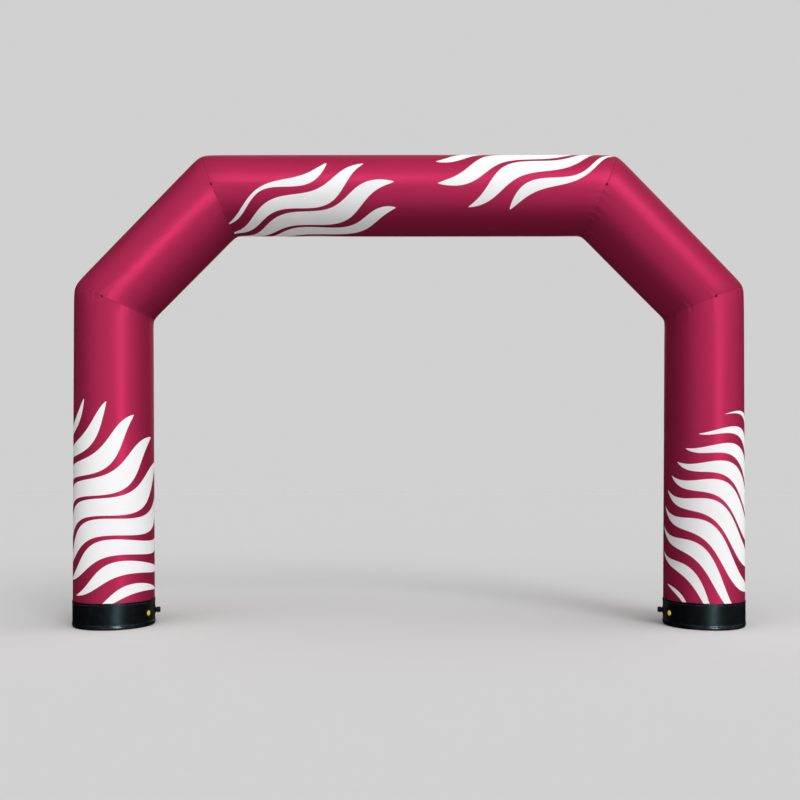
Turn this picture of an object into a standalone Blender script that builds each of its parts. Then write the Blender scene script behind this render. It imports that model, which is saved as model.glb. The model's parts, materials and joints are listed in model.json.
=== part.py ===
"""Inflatable arch: five air-filled cloth tubes standing on two coated cuffs.

Metres, +Z up. The arch stands in the X-Z plane with its front towards -Y, and the origin
is on the ground midway between the legs. Each tube is an open-ended cloth skin, mitred
where it is sewn to the next one. The inside is nothing but air.
"""

import math

import bmesh
import bpy
from mathutils import Matrix, Vector

# The whole arch
ARCH_WIDTH = 6.00
ARCH_HEIGHT = 4.19
SHOULDER_WIDTH = 0.941  # of a shoulder's axis, from the leg to the beam
SHOULDER_HEIGHT = 0.961

# Radii of the inflated tubes, which swell a little towards the ground
BEAM_RADIUS = 0.350
UPPER_CORNER_RADIUS = 0.348
LOWER_CORNER_RADIUS = 0.340
FOOT_RADIUS = 0.3505

# Cloth
CLOTH_THICKNESS = 0.002
AROUND = 40  # flats round a tube
FIT_GAP = 0.0003  # between neighbouring pieces
SEAM_PINCH = 0.003  # how far a mitre seam draws the tube in all round
CORNER_PINCH = 0.011  # the further draw-in on the outer side of a bend
CORNER_FOCUS = 3  # the higher, the closer that further draw-in keeps to the outer side
PINCH_REACH = 0.07  # distance over which the draw-in dies away
SEAM_STATIONS = (0.0, 0.03, 0.08, 0.18)  # rings near a mitre seam, by distance from it

# Base cuffs
CUFF_HEIGHT = 0.233
CUFF_THICKNESS = 0.003
CUFF_LAP = 0.030  # how far a leg cover reaches down inside its cuff
CUFF_BEAD_HEIGHT = 0.034
CUFF_BEAD_PROUD = 0.004
CUFF_BEAD_SLOPE = 0.010  # height over which the bead runs out into the wall
CUFF_EDGE_RADIUS = 0.022  # of the turn from the bead into the ground sheet

# Fittings on the inner side of each cuff, at an angle from straight out to the arch's middle
FITTING_HEIGHT = 0.120
INFLATION_ANGLE = math.radians(18.0)  # behind the middle line
RELIEF_ANGLE = math.radians(-18.5)  # in front of it
TAB_ANGLE = math.radians(-7.5)
SMALL_AROUND = 20  # flats round a small fitting
VALVE_NECK_HEIGHT = 0.013
RELIEF_SEAT_RADIUS = 0.034
RELIEF_SEAT_HEIGHT = 0.004

# Tie studs at the front of each mitre seam
STUD_RADIUS = 0.010
STUD_HEIGHT = 0.006

# Mesh care
SHARP_TURN = math.radians(35.0)  # an edge that turns by more than this stays sharp
MERGE_DISTANCE = 0.00001

# What follows from these: the wall of a cuff, and the corners of the tubes' axis
CUFF_INNER_RADIUS = FOOT_RADIUS + FIT_GAP
CUFF_OUTER_RADIUS = CUFF_INNER_RADIUS + CUFF_THICKNESS
CUFF_BEAD_RADIUS = CUFF_OUTER_RADIUS + CUFF_BEAD_PROUD
LEG_AXIS_X = 0.5 * ARCH_WIDTH - CUFF_BEAD_RADIUS
LEG_HEM_Z = CUFF_HEIGHT - CUFF_LAP
BEAM_AXIS_Z = ARCH_HEIGHT - BEAM_RADIUS
LOWER_CORNER_Z = BEAM_AXIS_Z - SHOULDER_HEIGHT
UPPER_CORNER_X = LEG_AXIS_X - SHOULDER_WIDTH
SIDES = {"left": -1, "right": 1}


def clear_scene():
    """Remove every object that the scene starts with."""
    for thing in list(bpy.data.objects):
        bpy.data.objects.remove(thing, do_unlink=True)


def make_material(name, colour, roughness):
    """A plain Principled BSDF with the part's own colour."""
    material = bpy.data.materials.new(name)
    material.use_nodes = True
    shader = material.node_tree.nodes["Principled BSDF"]
    shader.inputs["Base Color"].default_value = (*colour, 1.0)
    shader.inputs["Roughness"].default_value = roughness
    return material


def make_materials():
    """One finish for each kind of piece."""
    return {
        "cover": make_material("crimson_cloth", (0.43, 0.023, 0.085), 0.45),
        "cuff": make_material("black_coated_cloth", (0.010, 0.013, 0.015), 0.40),
        "fitting": make_material("black_plastic", (0.012, 0.014, 0.016), 0.35),
        "plug": make_material("yellow_plastic", (0.80, 0.50, 0.02), 0.35),
        "webbing": make_material("black_webbing", (0.015, 0.016, 0.018), 0.80),
        "stud": make_material("wine_plastic", (0.12, 0.012, 0.035), 0.50),
    }


def add_object(name, mesh, material, collection):
    """Link a mesh to the arch's collection, shaded smooth with its real edges kept."""
    thing = bpy.data.objects.new(name, mesh)
    collection.objects.link(thing)
    mesh.materials.append(material)
    mesh.shade_smooth()
    mesh.set_sharp_from_angle(angle=SHARP_TURN)
    return thing


class TubeEnd:
    """Where a tube's axis ends: its point, its radius and the plane that cuts it there."""

    def __init__(self, point, radius, cut, sewn):
        self.point = point
        self.radius = radius
        self.cut = cut
        self.sewn = sewn


def arch_axis():
    """The corners of the arch's axis from the left foot to the right foot, with their radii."""
    left = [
        (Vector((-LEG_AXIS_X, 0.0, LEG_HEM_Z)), FOOT_RADIUS),
        (Vector((-LEG_AXIS_X, 0.0, LOWER_CORNER_Z)), LOWER_CORNER_RADIUS),
        (Vector((-UPPER_CORNER_X, 0.0, BEAM_AXIS_Z)), UPPER_CORNER_RADIUS),
    ]
    right = [(Vector((-point.x, 0.0, point.z)), radius) for point, radius in reversed(left)]
    return left + right


def tube_ends():
    """The ends of the five tubes. Two tubes that meet share the plane halfway between them."""
    corners = arch_axis()
    points = [point for point, _ in corners]
    runs = [(after - before).normalized() for before, after in zip(points, points[1:])]
    cuts = [runs[0]]
    cuts += [(before + after).normalized() for before, after in zip(runs, runs[1:])]
    cuts.append(runs[-1])
    last = len(corners) - 1
    ends = [
        TubeEnd(point, radius, cut, 0 < index < last)
        for index, ((point, radius), cut) in enumerate(zip(corners, cuts))
    ]
    return list(zip(ends, ends[1:]))


def pinch(angle, distance):
    """How far a mitre seam draws the skin in, most on the outer side of the bend."""
    outer_share = (0.5 + 0.5 * math.cos(angle)) ** CORNER_FOCUS
    return (SEAM_PINCH + CORNER_PINCH * outer_share) * math.exp(-distance / PINCH_REACH)


def skin_point(start, end, angle, share, offset, inset, swell):
    """A point of a tube's skin.

    It lies at an angle round the axis, measured from the outer side of the arch, and at a
    share of the way along the skin's own length there, plus an offset. The inset is measured
    inwards from the outer face.
    """
    run = (end.point - start.point).normalized()
    length = (end.point - start.point).length
    outward = Vector((-run.z, 0.0, run.x))
    spoke = outward * math.cos(angle) + Vector((0.0, 1.0, 0.0)) * math.sin(angle)

    def reach(tube_end):
        drawn_in = pinch(angle, 0.0) if tube_end.sewn else 0.0
        radius = tube_end.radius - inset - drawn_in
        slope = -spoke.dot(tube_end.cut) / run.dot(tube_end.cut)
        gap = 0.5 * FIT_GAP / run.dot(tube_end.cut) if tube_end.sewn else 0.0
        return radius * slope, gap

    start_shift, start_gap = reach(start)
    end_shift, end_gap = reach(end)
    first = start_shift + start_gap
    last = length + end_shift - end_gap
    along = first + (last - first) * share + offset
    travelled = (along - first) / (last - first)
    radius = start.radius + (end.radius - start.radius) * travelled - inset
    radius += swell * math.sin(math.pi * travelled)
    if start.sewn:
        radius -= pinch(angle, along - first)
    if end.sewn:
        radius -= pinch(angle, last - along)
    return start.point + run * along + spoke * radius


def skin_stations(start, end):
    """Where the rings of a tube lie: close together at a mitre seam, far apart between."""
    hem = (0.0,)
    near_start = [(0.0, distance) for distance in (SEAM_STATIONS if start.sewn else hem)]
    near_end = [(1.0, -distance) for distance in (SEAM_STATIONS if end.sewn else hem)]
    return near_start + [(0.5, 0.0)] + near_end[::-1]


def cloth_tube(name, start, end, swell, material, collection):
    """An open-ended cloth tube: a loft of rings up its outer face and back down its inner one."""
    mesh = bpy.data.meshes.new(name)
    shape = bmesh.new()
    stations = skin_stations(start, end)
    course = [(station, 0.0) for station in stations]
    course += [(station, CLOTH_THICKNESS) for station in reversed(stations)]
    rings = []
    for (share, offset), inset in course:
        ring = [
            shape.verts.new(
                skin_point(start, end, math.tau * turn / AROUND, share, offset, inset, swell)
            )
            for turn in range(AROUND)
        ]
        rings.append(ring)
    for ring, following in zip(rings, rings[1:] + rings[:1]):
        for turn in range(AROUND):
            onward = (turn + 1) % AROUND
            shape.faces.new((ring[turn], ring[onward], following[onward], following[turn]))
    bmesh.ops.recalc_face_normals(shape, faces=shape.faces)
    shape.to_mesh(mesh)
    shape.free()
    add_object(name, mesh, material, collection)


def turned(name, profile, steps, place, material, collection):
    """Turn a profile of (radius, height) points round Z, and set it at its place."""
    mesh = bpy.data.meshes.new(name)
    points = [(radius, 0.0, height) for radius, height in profile]
    edges = [(index, index + 1) for index in range(len(points) - 1)]
    mesh.from_pydata(points, edges, [])
    thing = add_object(name, mesh, material, collection)
    screw = thing.modifiers.new("turn", "SCREW")
    screw.axis = "Z"
    screw.angle = math.tau
    screw.steps = steps
    screw.render_steps = steps
    screw.use_merge_vertices = True
    screw.merge_threshold = MERGE_DISTANCE
    screw.use_smooth_shade = True
    thing.matrix_world = place


def extruded(name, outline, travel, place, material, collection):
    """Push a flat closed outline along a vector into a solid, and set it at its place."""
    shape = bmesh.new()
    face = shape.faces.new([shape.verts.new(point) for point in outline])
    raised = bmesh.ops.extrude_face_region(shape, geom=[face])
    far = [item for item in raised["geom"] if isinstance(item, bmesh.types.BMVert)]
    bmesh.ops.translate(shape, verts=far, vec=travel)
    bmesh.ops.recalc_face_normals(shape, faces=shape.faces)
    mesh = bpy.data.meshes.new(name)
    shape.to_mesh(mesh)
    shape.free()
    thing = add_object(name, mesh, material, collection)
    thing.matrix_world = place
    return thing


def arc(centre, across, upright, first_degrees, last_degrees, pieces):
    """Points (radius, height) along a corner of a profile, rounded with two half-axes."""
    angles = [
        math.radians(first_degrees + (last_degrees - first_degrees) * step / pieces)
        for step in range(pieces + 1)
    ]
    return [
        (centre[0] + across * math.cos(angle), centre[1] + upright * math.sin(angle))
        for angle in angles
    ]


def cuff_profile():
    """The coated cup: ground sheet, wall, top edge, then down the outside over the bead."""
    bead_top = CUFF_BEAD_HEIGHT + CUFF_BEAD_SLOPE
    turn_centre = (CUFF_BEAD_RADIUS - CUFF_EDGE_RADIUS, CUFF_EDGE_RADIUS)
    inner_across = CUFF_INNER_RADIUS - turn_centre[0]
    inner_upright = CUFF_EDGE_RADIUS - CUFF_THICKNESS
    return [
        (0.0, CUFF_THICKNESS),
        *arc(turn_centre, inner_across, inner_upright, -90.0, 0.0, 2),
        (CUFF_INNER_RADIUS, CUFF_HEIGHT),
        (CUFF_OUTER_RADIUS, CUFF_HEIGHT),
        (CUFF_OUTER_RADIUS, bead_top),
        (CUFF_BEAD_RADIUS, CUFF_BEAD_HEIGHT),
        *arc(turn_centre, CUFF_EDGE_RADIUS, CUFF_EDGE_RADIUS, 0.0, -90.0, 3),
        (0.0, 0.0),
    ]


def base_cuff(name, side, material, collection):
    """The cuff that wraps a leg's foot and lies flat on the ground."""
    place = Matrix.Translation((side * LEG_AXIS_X, 0.0, 0.0))
    turned(name, cuff_profile(), AROUND, place, material, collection)


def cuff_face(side, angle, height, clear):
    """A frame on the inner side of a cuff, with Z pointing out of its wall and Y up.

    The angle is counted from straight towards the arch's middle, positive to the back. The
    frame's plane lies on the cuff's flats, at a clear distance from them.
    """
    flat = math.tau / AROUND
    off_corner = angle - flat * round(angle / flat)
    wall_reach = CUFF_OUTER_RADIUS * math.cos(off_corner)
    outward = Vector((-side * math.cos(angle), math.sin(angle), 0.0))
    upward = Vector((0.0, 0.0, 1.0))
    across = upward.cross(outward)
    frame = Matrix((across, upward, outward)).transposed().to_4x4()
    wall = Vector((side * LEG_AXIS_X, 0.0, height)) + outward * (wall_reach + clear)
    return Matrix.Translation(wall) @ frame


def inflation_valve(name, side, material, collection):
    """The valve through which the arch is pumped up: a welded flange with a neck on it."""
    flange_radius = 0.034
    flange_height = 0.004
    flange_chamfer = 0.002
    neck_radius = 0.021
    neck_chamfer = 0.001
    root_radius = neck_radius + 0.003
    root_height = flange_height + 0.002
    profile = [
        (0.0, VALVE_NECK_HEIGHT),
        (neck_radius - neck_chamfer, VALVE_NECK_HEIGHT),
        (neck_radius, VALVE_NECK_HEIGHT - neck_chamfer),
        (neck_radius, root_height),
        (root_radius, flange_height),
        (flange_radius - flange_chamfer, flange_height),
        (flange_radius, flange_height - flange_chamfer),
        (flange_radius, 0.0),
        (0.0, 0.0),
    ]
    place = cuff_face(side, INFLATION_ANGLE, FITTING_HEIGHT, FIT_GAP)
    turned(name, profile, SMALL_AROUND, place, material, collection)


def inflation_cap(name, side, material, collection):
    """The ribbed cap screwed on the valve's neck, a toothed outline extruded and bevelled."""
    cap_height = 0.033
    rib_count = 12
    rib_outer = 0.0255
    rib_inner = 0.0235
    edge_width = 0.002
    least_turn = math.radians(60.0)  # the ribs turn less than this, the rims more
    outline = []
    for step in range(2 * rib_count):
        angle = math.tau * step / (2 * rib_count)
        radius = rib_outer if step % 2 == 0 else rib_inner
        outline.append((radius * math.cos(angle), radius * math.sin(angle), 0.0))
    clear = VALVE_NECK_HEIGHT + 2 * FIT_GAP
    place = cuff_face(side, INFLATION_ANGLE, FITTING_HEIGHT, clear)
    cap = extruded(name, outline, (0.0, 0.0, cap_height), place, material, collection)
    bevel = cap.modifiers.new("edge", "BEVEL")
    bevel.width = edge_width
    bevel.segments = 1
    bevel.limit_method = "ANGLE"
    bevel.angle_limit = least_turn


def relief_seat(name, side, material, collection):
    """The flat welded disc that carries the relief plug."""
    chamfer = 0.002
    profile = [
        (0.0, RELIEF_SEAT_HEIGHT),
        (RELIEF_SEAT_RADIUS - chamfer, RELIEF_SEAT_HEIGHT),
        (RELIEF_SEAT_RADIUS, RELIEF_SEAT_HEIGHT - chamfer),
        (RELIEF_SEAT_RADIUS, 0.0),
        (0.0, 0.0),
    ]
    place = cuff_face(side, RELIEF_ANGLE, FITTING_HEIGHT, FIT_GAP)
    turned(name, profile, SMALL_AROUND, place, material, collection)


def relief_plug(name, side, material, collection):
    """The domed round plug on that disc."""
    radius = 0.0225
    wall = 0.003
    flat_radius = 0.009
    shoulder_radius = 0.018
    shoulder_height = 0.0055
    top_height = 0.007
    profile = [
        (0.0, top_height),
        (flat_radius, top_height),
        (shoulder_radius, shoulder_height),
        (radius, wall),
        (radius, 0.0),
        (0.0, 0.0),
    ]
    clear = RELIEF_SEAT_HEIGHT + 2 * FIT_GAP
    place = cuff_face(side, RELIEF_ANGLE, FITTING_HEIGHT, clear)
    turned(name, profile, SMALL_AROUND, place, material, collection)


def pull_tab(name, side, material, collection):
    """A webbing tab sewn to the cuff's face, which rises over the edge and hangs outside."""
    width = 0.030
    thickness = 0.003
    sewn_length = 0.025  # how far it reaches down the cuff's face
    rise = 0.003  # straight part above the cuff's top edge
    bend = 0.011
    hang = 0.012  # how far its outer end comes down below that edge
    sewn_line = 0.5 * thickness
    bend_centre = (sewn_line + bend, rise)
    centre_line = [(sewn_line, -sewn_length)]
    centre_line += arc(bend_centre, bend, bend, 180.0, 0.0, 6)
    centre_line.append((sewn_line + 2 * bend, -hang))
    ribbon = offset_ribbon(centre_line, 0.5 * thickness)
    outline = [(-0.5 * width, up, out) for out, up in ribbon]
    place = cuff_face(side, TAB_ANGLE, CUFF_HEIGHT, FIT_GAP)
    extruded(name, outline, (width, 0.0, 0.0), place, material, collection)


def offset_ribbon(centre_line, half):
    """The closed outline of a ribbon with square ends that follows a line in a plane."""
    points = [Vector(point) for point in centre_line]
    left = []
    right = []
    for index, point in enumerate(points):
        before = points[max(index - 1, 0)]
        after = points[min(index + 1, len(points) - 1)]
        run = (after - before).normalized()
        normal = Vector((-run.y, run.x))
        left.append(point + normal * half)
        right.append(point - normal * half)
    return left + right[::-1]


def tie_stud(name, corner, radius, material, collection):
    """A small stud at the front of a mitre seam, its flat end to the front."""
    chamfer = 0.002
    profile = [
        (0.0, STUD_HEIGHT),
        (STUD_RADIUS - chamfer, STUD_HEIGHT),
        (STUD_RADIUS, STUD_HEIGHT - chamfer),
        (STUD_RADIUS, 0.0),
        (0.0, 0.0),
    ]
    front_angle = -0.5 * math.pi
    reach = radius - pinch(front_angle, STUD_RADIUS) + FIT_GAP
    front = Vector((corner.x, -reach, corner.z))
    place = Matrix.Translation(front) @ Matrix.Rotation(math.radians(90.0), 4, "X")
    turned(name, profile, SMALL_AROUND, place, material, collection)


def build_covers(materials, collection):
    """The five cloth tubes, from the left leg over the beam to the right leg."""
    names = (
        "leg_cover_left",
        "shoulder_cover_left",
        "beam_cover",
        "shoulder_cover_right",
        "leg_cover_right",
    )
    for name, (start, end) in zip(names, tube_ends()):
        swell = BEAM_RADIUS - UPPER_CORNER_RADIUS if name == "beam_cover" else 0.0
        cloth_tube(name, start, end, swell, materials["cover"], collection)


def build_feet(materials, collection):
    """The cuffs with their valves, plugs and tabs."""
    for word, side in SIDES.items():
        base_cuff(f"base_cuff_{word}", side, materials["cuff"], collection)
        inflation_valve(f"inflation_valve_{word}", side, materials["fitting"], collection)
        inflation_cap(f"inflation_cap_{word}", side, materials["fitting"], collection)
        relief_seat(f"relief_seat_{word}", side, materials["fitting"], collection)
        relief_plug(f"relief_plug_{word}", side, materials["plug"], collection)
        pull_tab(f"pull_tab_{word}", side, materials["webbing"], collection)


def build_studs(materials, collection):
    """A stud at the front of each of the four mitre seams."""
    for word, side in SIDES.items():
        lower = Vector((side * LEG_AXIS_X, 0.0, LOWER_CORNER_Z))
        upper = Vector((side * UPPER_CORNER_X, 0.0, BEAM_AXIS_Z))
        seams = (("lower", lower, LOWER_CORNER_RADIUS), ("upper", upper, UPPER_CORNER_RADIUS))
        for level, corner, radius in seams:
            tie_stud(f"tie_stud_{level}_{word}", corner, radius, materials["stud"], collection)


def main():
    """Build the whole arch in its own collection."""
    clear_scene()
    collection = bpy.data.collections.new("inflatable_arch")
    bpy.context.scene.collection.children.link(collection)
    materials = make_materials()
    build_covers(materials, collection)
    build_feet(materials, collection)
    build_studs(materials, collection)


main()
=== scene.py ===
"""Looks of the inflatable arch: fine cloth skins, coated cuffs and moulded fittings.

Metres, +Z up, the arch's front towards -Y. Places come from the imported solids. Each
sub-assembly is a class that builds its meshes and dresses them, and each finish is a small
class that writes one procedural material.
"""

from __future__ import annotations

import json
import logging
import math
import sys
from collections.abc import Iterator, Mapping, Sequence
from contextlib import contextmanager
from dataclasses import dataclass, field, fields
from enum import Enum
from typing import Union

import bmesh
import bpy
from mathutils import Matrix, Vector
from mathutils.bvhtree import BVHTree

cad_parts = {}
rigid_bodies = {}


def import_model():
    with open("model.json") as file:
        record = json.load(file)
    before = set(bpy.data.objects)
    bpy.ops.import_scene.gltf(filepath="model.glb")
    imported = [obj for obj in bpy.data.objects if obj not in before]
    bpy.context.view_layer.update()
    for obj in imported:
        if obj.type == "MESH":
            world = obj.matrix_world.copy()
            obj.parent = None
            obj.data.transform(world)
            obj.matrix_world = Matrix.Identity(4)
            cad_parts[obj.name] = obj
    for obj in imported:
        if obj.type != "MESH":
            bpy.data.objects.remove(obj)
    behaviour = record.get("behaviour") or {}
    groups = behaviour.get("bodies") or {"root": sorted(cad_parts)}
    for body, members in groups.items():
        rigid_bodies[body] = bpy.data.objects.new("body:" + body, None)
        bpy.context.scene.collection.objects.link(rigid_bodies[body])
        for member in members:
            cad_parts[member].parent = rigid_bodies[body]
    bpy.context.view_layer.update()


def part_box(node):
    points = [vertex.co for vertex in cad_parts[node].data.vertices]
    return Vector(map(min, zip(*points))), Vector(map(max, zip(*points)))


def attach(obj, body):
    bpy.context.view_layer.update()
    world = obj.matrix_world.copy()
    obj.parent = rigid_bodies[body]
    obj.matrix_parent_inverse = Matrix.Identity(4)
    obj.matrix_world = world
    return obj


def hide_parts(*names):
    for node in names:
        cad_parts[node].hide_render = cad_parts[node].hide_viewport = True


LOG = logging.getLogger("inflatable_arch")
BODY = "root"
CLOTH_MAP = "UVMap"
SEAM_NEARNESS = "seam"
LIFT = "lift"
GEOMETRY = "Geometry"
PIECE_MARK = "arch_piece"
MERGE_DISTANCE = 0.00002
UP = Vector((0.0, 0.0, 1.0))
FRONT_ANGLE = 0.5 * math.pi  # round a tube, from the outer side of the arch
BACK_ANGLE = -0.5 * math.pi


class Side(Enum):
    """The two feet of the arch."""

    LEFT = -1
    RIGHT = 1

    @property
    def word(self) -> str:
        """The word that ends the names of this side's nodes."""
        return self.name.lower()


class Slot(Enum):
    """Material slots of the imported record."""

    COVER = "cover"
    CUFF = "cuff"
    FITTING = "fitting"
    PLUG = "plug"
    WEBBING = "webbing"
    STUD = "stud"


# ---------------- Node writing ----------------


class Wire:
    """An output socket that takes part in arithmetic, adding Math nodes as it goes."""

    def __init__(self, graph: Graph, socket: bpy.types.NodeSocket) -> None:
        """Keep the socket and the graph that it belongs to."""
        self.graph = graph
        self.socket = socket

    def __add__(self, other: Value) -> Wire:
        """Add."""
        return self.graph.maths("ADD", self, other)

    def __radd__(self, other: Value) -> Wire:
        """Add, reflected."""
        return self.graph.maths("ADD", other, self)

    def __sub__(self, other: Value) -> Wire:
        """Subtract."""
        return self.graph.maths("SUBTRACT", self, other)

    def __rsub__(self, other: Value) -> Wire:
        """Subtract, reflected."""
        return self.graph.maths("SUBTRACT", other, self)

    def __mul__(self, other: Value) -> Wire:
        """Multiply."""
        return self.graph.maths("MULTIPLY", self, other)

    def __rmul__(self, other: Value) -> Wire:
        """Multiply, reflected."""
        return self.graph.maths("MULTIPLY", other, self)

    def __truediv__(self, other: Value) -> Wire:
        """Divide."""
        return self.graph.maths("DIVIDE", self, other)

    def __pow__(self, other: Value) -> Wire:
        """Raise to a power."""
        return self.graph.maths("POWER", self, other)

    def __neg__(self) -> Wire:
        """Negate."""
        return self.graph.maths("MULTIPLY", self, -1.0)


Value = Union[Wire, float]
Colour = tuple[float, float, float]


class Graph:
    """Writes the nodes of one node tree, either a material's or a geometry tree."""

    def __init__(self, tree: bpy.types.NodeTree) -> None:
        """Keep the tree that the nodes go into."""
        self.tree = tree

    def node(
        self,
        kind: str,
        settings: Mapping[str, object] | None = None,
        sockets: Mapping[str, object] | None = None,
    ) -> bpy.types.Node:
        """Add one node.

        Args:
            kind: the node's type.
            settings: its properties, which are set first.
            sockets: values or wires by socket identifier or name.

        Returns:
            The new node.
        """
        made = self.tree.nodes.new(kind)
        for key, value in (settings or {}).items():
            setattr(made, key, value)
        for key, value in (sockets or {}).items():
            self.feed(self.find(made.inputs, key), value)
        return made

    @staticmethod
    def find(sockets: bpy.types.NodeInputs, key: str) -> bpy.types.NodeSocket:
        """Find a socket of a node.

        Args:
            sockets: the node's inputs or outputs.
            key: the socket's identifier, or the name of an enabled socket.

        Returns:
            The socket.
        """
        for socket in sockets:
            if socket.identifier == key:
                return socket
        for socket in sockets:
            if socket.name == key and socket.enabled:
                return socket
        raise KeyError(f"no socket {key!r} among {[socket.identifier for socket in sockets]}")

    def feed(self, socket: bpy.types.NodeSocket, value: object) -> None:
        """Link or set an input.

        Args:
            socket: the input.
            value: a wire to link, or a plain value; a colour gets its alpha here.
        """
        if isinstance(value, Wire):
            self.tree.links.new(value.socket, socket)
        elif socket.type == "RGBA" and len(value) == 3:
            socket.default_value = (*value, 1.0)
        else:
            socket.default_value = value

    def wire(self, node: bpy.types.Node, output: str) -> Wire:
        """The wire of a node's output, by identifier or name."""
        return Wire(self, self.find(node.outputs, output))

    def out(
        self,
        kind: str,
        output: str,
        settings: Mapping[str, object] | None = None,
        sockets: Mapping[str, object] | None = None,
    ) -> Wire:
        """Add one node and take one of its outputs.

        Args:
            kind: the node's type.
            output: the output's identifier or name.
            settings: the node's properties.
            sockets: values or wires by socket identifier or name.

        Returns:
            The output's wire.
        """
        return self.wire(self.node(kind, settings, sockets), output)

    def maths(self, operation: str, *values: Value) -> Wire:
        """Add a Math node.

        Args:
            operation: what it does.
            values: its inputs in order.

        Returns:
            Its result.
        """
        node = self.node("ShaderNodeMath", {"operation": operation})
        for socket, value in zip(node.inputs, values):
            self.feed(socket, value)
        return Wire(self, node.outputs[0])

    def scaled(self, vector: Wire, scale: Value) -> Wire:
        """A vector or colour times a number."""
        sockets = {"Vector": vector, "Scale": scale}
        return self.out("ShaderNodeVectorMath", "Vector", {"operation": "SCALE"}, sockets)

    def split(self, vector: Wire) -> tuple[Wire, Wire, Wire]:
        """The three parts of a vector."""
        node = self.node("ShaderNodeSeparateXYZ", None, {"Vector": vector})
        return self.wire(node, "X"), self.wire(node, "Y"), self.wire(node, "Z")

    def join(self, x: Value, y: Value, z: Value) -> Wire:
        """A vector of three parts."""
        return self.out("ShaderNodeCombineXYZ", "Vector", sockets={"X": x, "Y": y, "Z": z})

    def step(self, value: Value, low: float, high: float) -> Wire:
        """Rise smoothly from 0 to 1.

        Args:
            value: what is compared.
            low: where the step begins.
            high: where it is complete.

        Returns:
            The step's height.
        """
        sockets = {"Value": value, "From Min": low, "From Max": high}
        settings = {"interpolation_type": "SMOOTHSTEP"}
        return self.out("ShaderNodeMapRange", "Result", settings, sockets)

    def mix(self, factor: Value, first: object, second: object) -> Wire:
        """Mix two colours.

        Args:
            factor: share of the second.
            first: a colour or a wire.
            second: a colour or a wire.

        Returns:
            The mixed colour.
        """
        sockets = {"Factor_Float": factor, "A_Color": first, "B_Color": second}
        return self.out("ShaderNodeMix", "Result_Color", {"data_type": "RGBA"}, sockets)

    def noise(self, vector: Wire, scale: float, detail: float = 2.0, seed: Value = 0.0) -> Wire:
        """Soft noise.

        Args:
            vector: where it is read.
            scale: how many blobs to a metre.
            detail: how many finer layers are added.
            seed: which pattern, as the fourth coordinate.

        Returns:
            The noise, from 0 to 1 about 0.5.
        """
        sockets = {"Vector": vector, "W": seed, "Scale": scale, "Detail": detail}
        return self.out("ShaderNodeTexNoise", "Fac", {"noise_dimensions": "4D"}, sockets)


class GeometryTree:
    """A geometry node tree with named inputs, and the means to run it."""

    def __init__(self, name: str, inputs: Mapping[str, str]) -> None:
        """Make the tree.

        Args:
            name: the tree's name.
            inputs: its named inputs with the last word of their socket type.
        """
        self.group = bpy.data.node_groups.new(name, "GeometryNodeTree")
        self.identifiers = {
            label: self.add_socket(label, "INPUT", kind)
            for label, kind in {GEOMETRY: GEOMETRY, **inputs}.items()
        }
        self.add_socket(GEOMETRY, "OUTPUT", GEOMETRY)
        self.graph = Graph(self.group)
        self.source = self.graph.node("NodeGroupInput")

    def add_socket(self, label: str, way: str, kind: str) -> str:
        """Add one named input or output.

        Args:
            label: its name.
            way: whether it is an input or an output.
            kind: the last word of its socket type.

        Returns:
            Its identifier.
        """
        kind = "NodeSocket" + kind
        made = self.group.interface.new_socket(label, in_out=way, socket_type=kind)
        return made.identifier

    def given(self, label: str) -> Wire:
        """The wire of a named input."""
        return Wire(self.graph, self.source.outputs[label])

    def finish(self, geometry: Wire, material: Wire) -> None:
        """End the tree in real meshes with their material.

        Args:
            geometry: what the tree made.
            material: the input that names the finish.
        """
        real = self.reshaped("RealizeInstances", geometry)
        painted = self.reshaped("SetMaterial", real, {"Material": material})
        self.graph.node("NodeGroupOutput", sockets={GEOMETRY: painted})

    def reshaped(
        self,
        kind: str,
        geometry: Wire,
        sockets: Mapping[str, object] | None = None,
        settings: Mapping[str, object] | None = None,
    ) -> Wire:
        """Send a geometry through a node that changes it.

        Args:
            kind: the node's type, without the words that all geometry nodes begin with.
            geometry: what goes in.
            sockets: the node's other inputs.
            settings: the node's properties.

        Returns:
            What comes out.
        """
        sockets = {GEOMETRY: geometry, **(sockets or {})}
        return self.graph.out("GeometryNode" + kind, GEOMETRY, settings, sockets)

    def grow(
        self, name: str, values: Mapping[str, object], base: bpy.types.Mesh | None = None
    ) -> bpy.types.Mesh:
        """Run the tree on a mesh.

        Args:
            name: the name of the result.
            values: the values of the named inputs.
            base: the mesh that goes in, or none.

        Returns:
            The result as a plain mesh.
        """
        carrier = placed(name, base or bpy.data.meshes.new(name))
        modifier = carrier.modifiers.new("grow", "NODES")
        modifier.node_group = self.group
        for label, value in values.items():
            modifier[self.identifiers[label]] = value
        depsgraph = bpy.context.evaluated_depsgraph_get()
        result = bpy.data.meshes.new_from_object(
            carrier.evaluated_get(depsgraph), preserve_all_data_layers=True, depsgraph=depsgraph
        )
        bpy.data.objects.remove(carrier, do_unlink=True)
        result.name = name
        return result


def tree_sizes(thing: object) -> dict[str, float]:
    """The sizes that a dataclass is made with.

    Args:
        thing: an instance of the dataclass.

    Returns:
        Each size under the name of the tree's input that takes it.
    """
    return {
        size.name.replace("_", " ").capitalize(): getattr(thing, size.name)
        for size in fields(thing)
        if size.init
    }


def tree_kinds(thing: object) -> dict[str, str]:
    """The kind of each of a dataclass's sizes, under the same names."""
    sizes = tree_sizes(thing).items()
    return {label: "Int" if isinstance(size, int) else "Float" for label, size in sizes}


# ---------------- Meshes ----------------

Profile = Sequence[tuple[float, float]]


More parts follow.
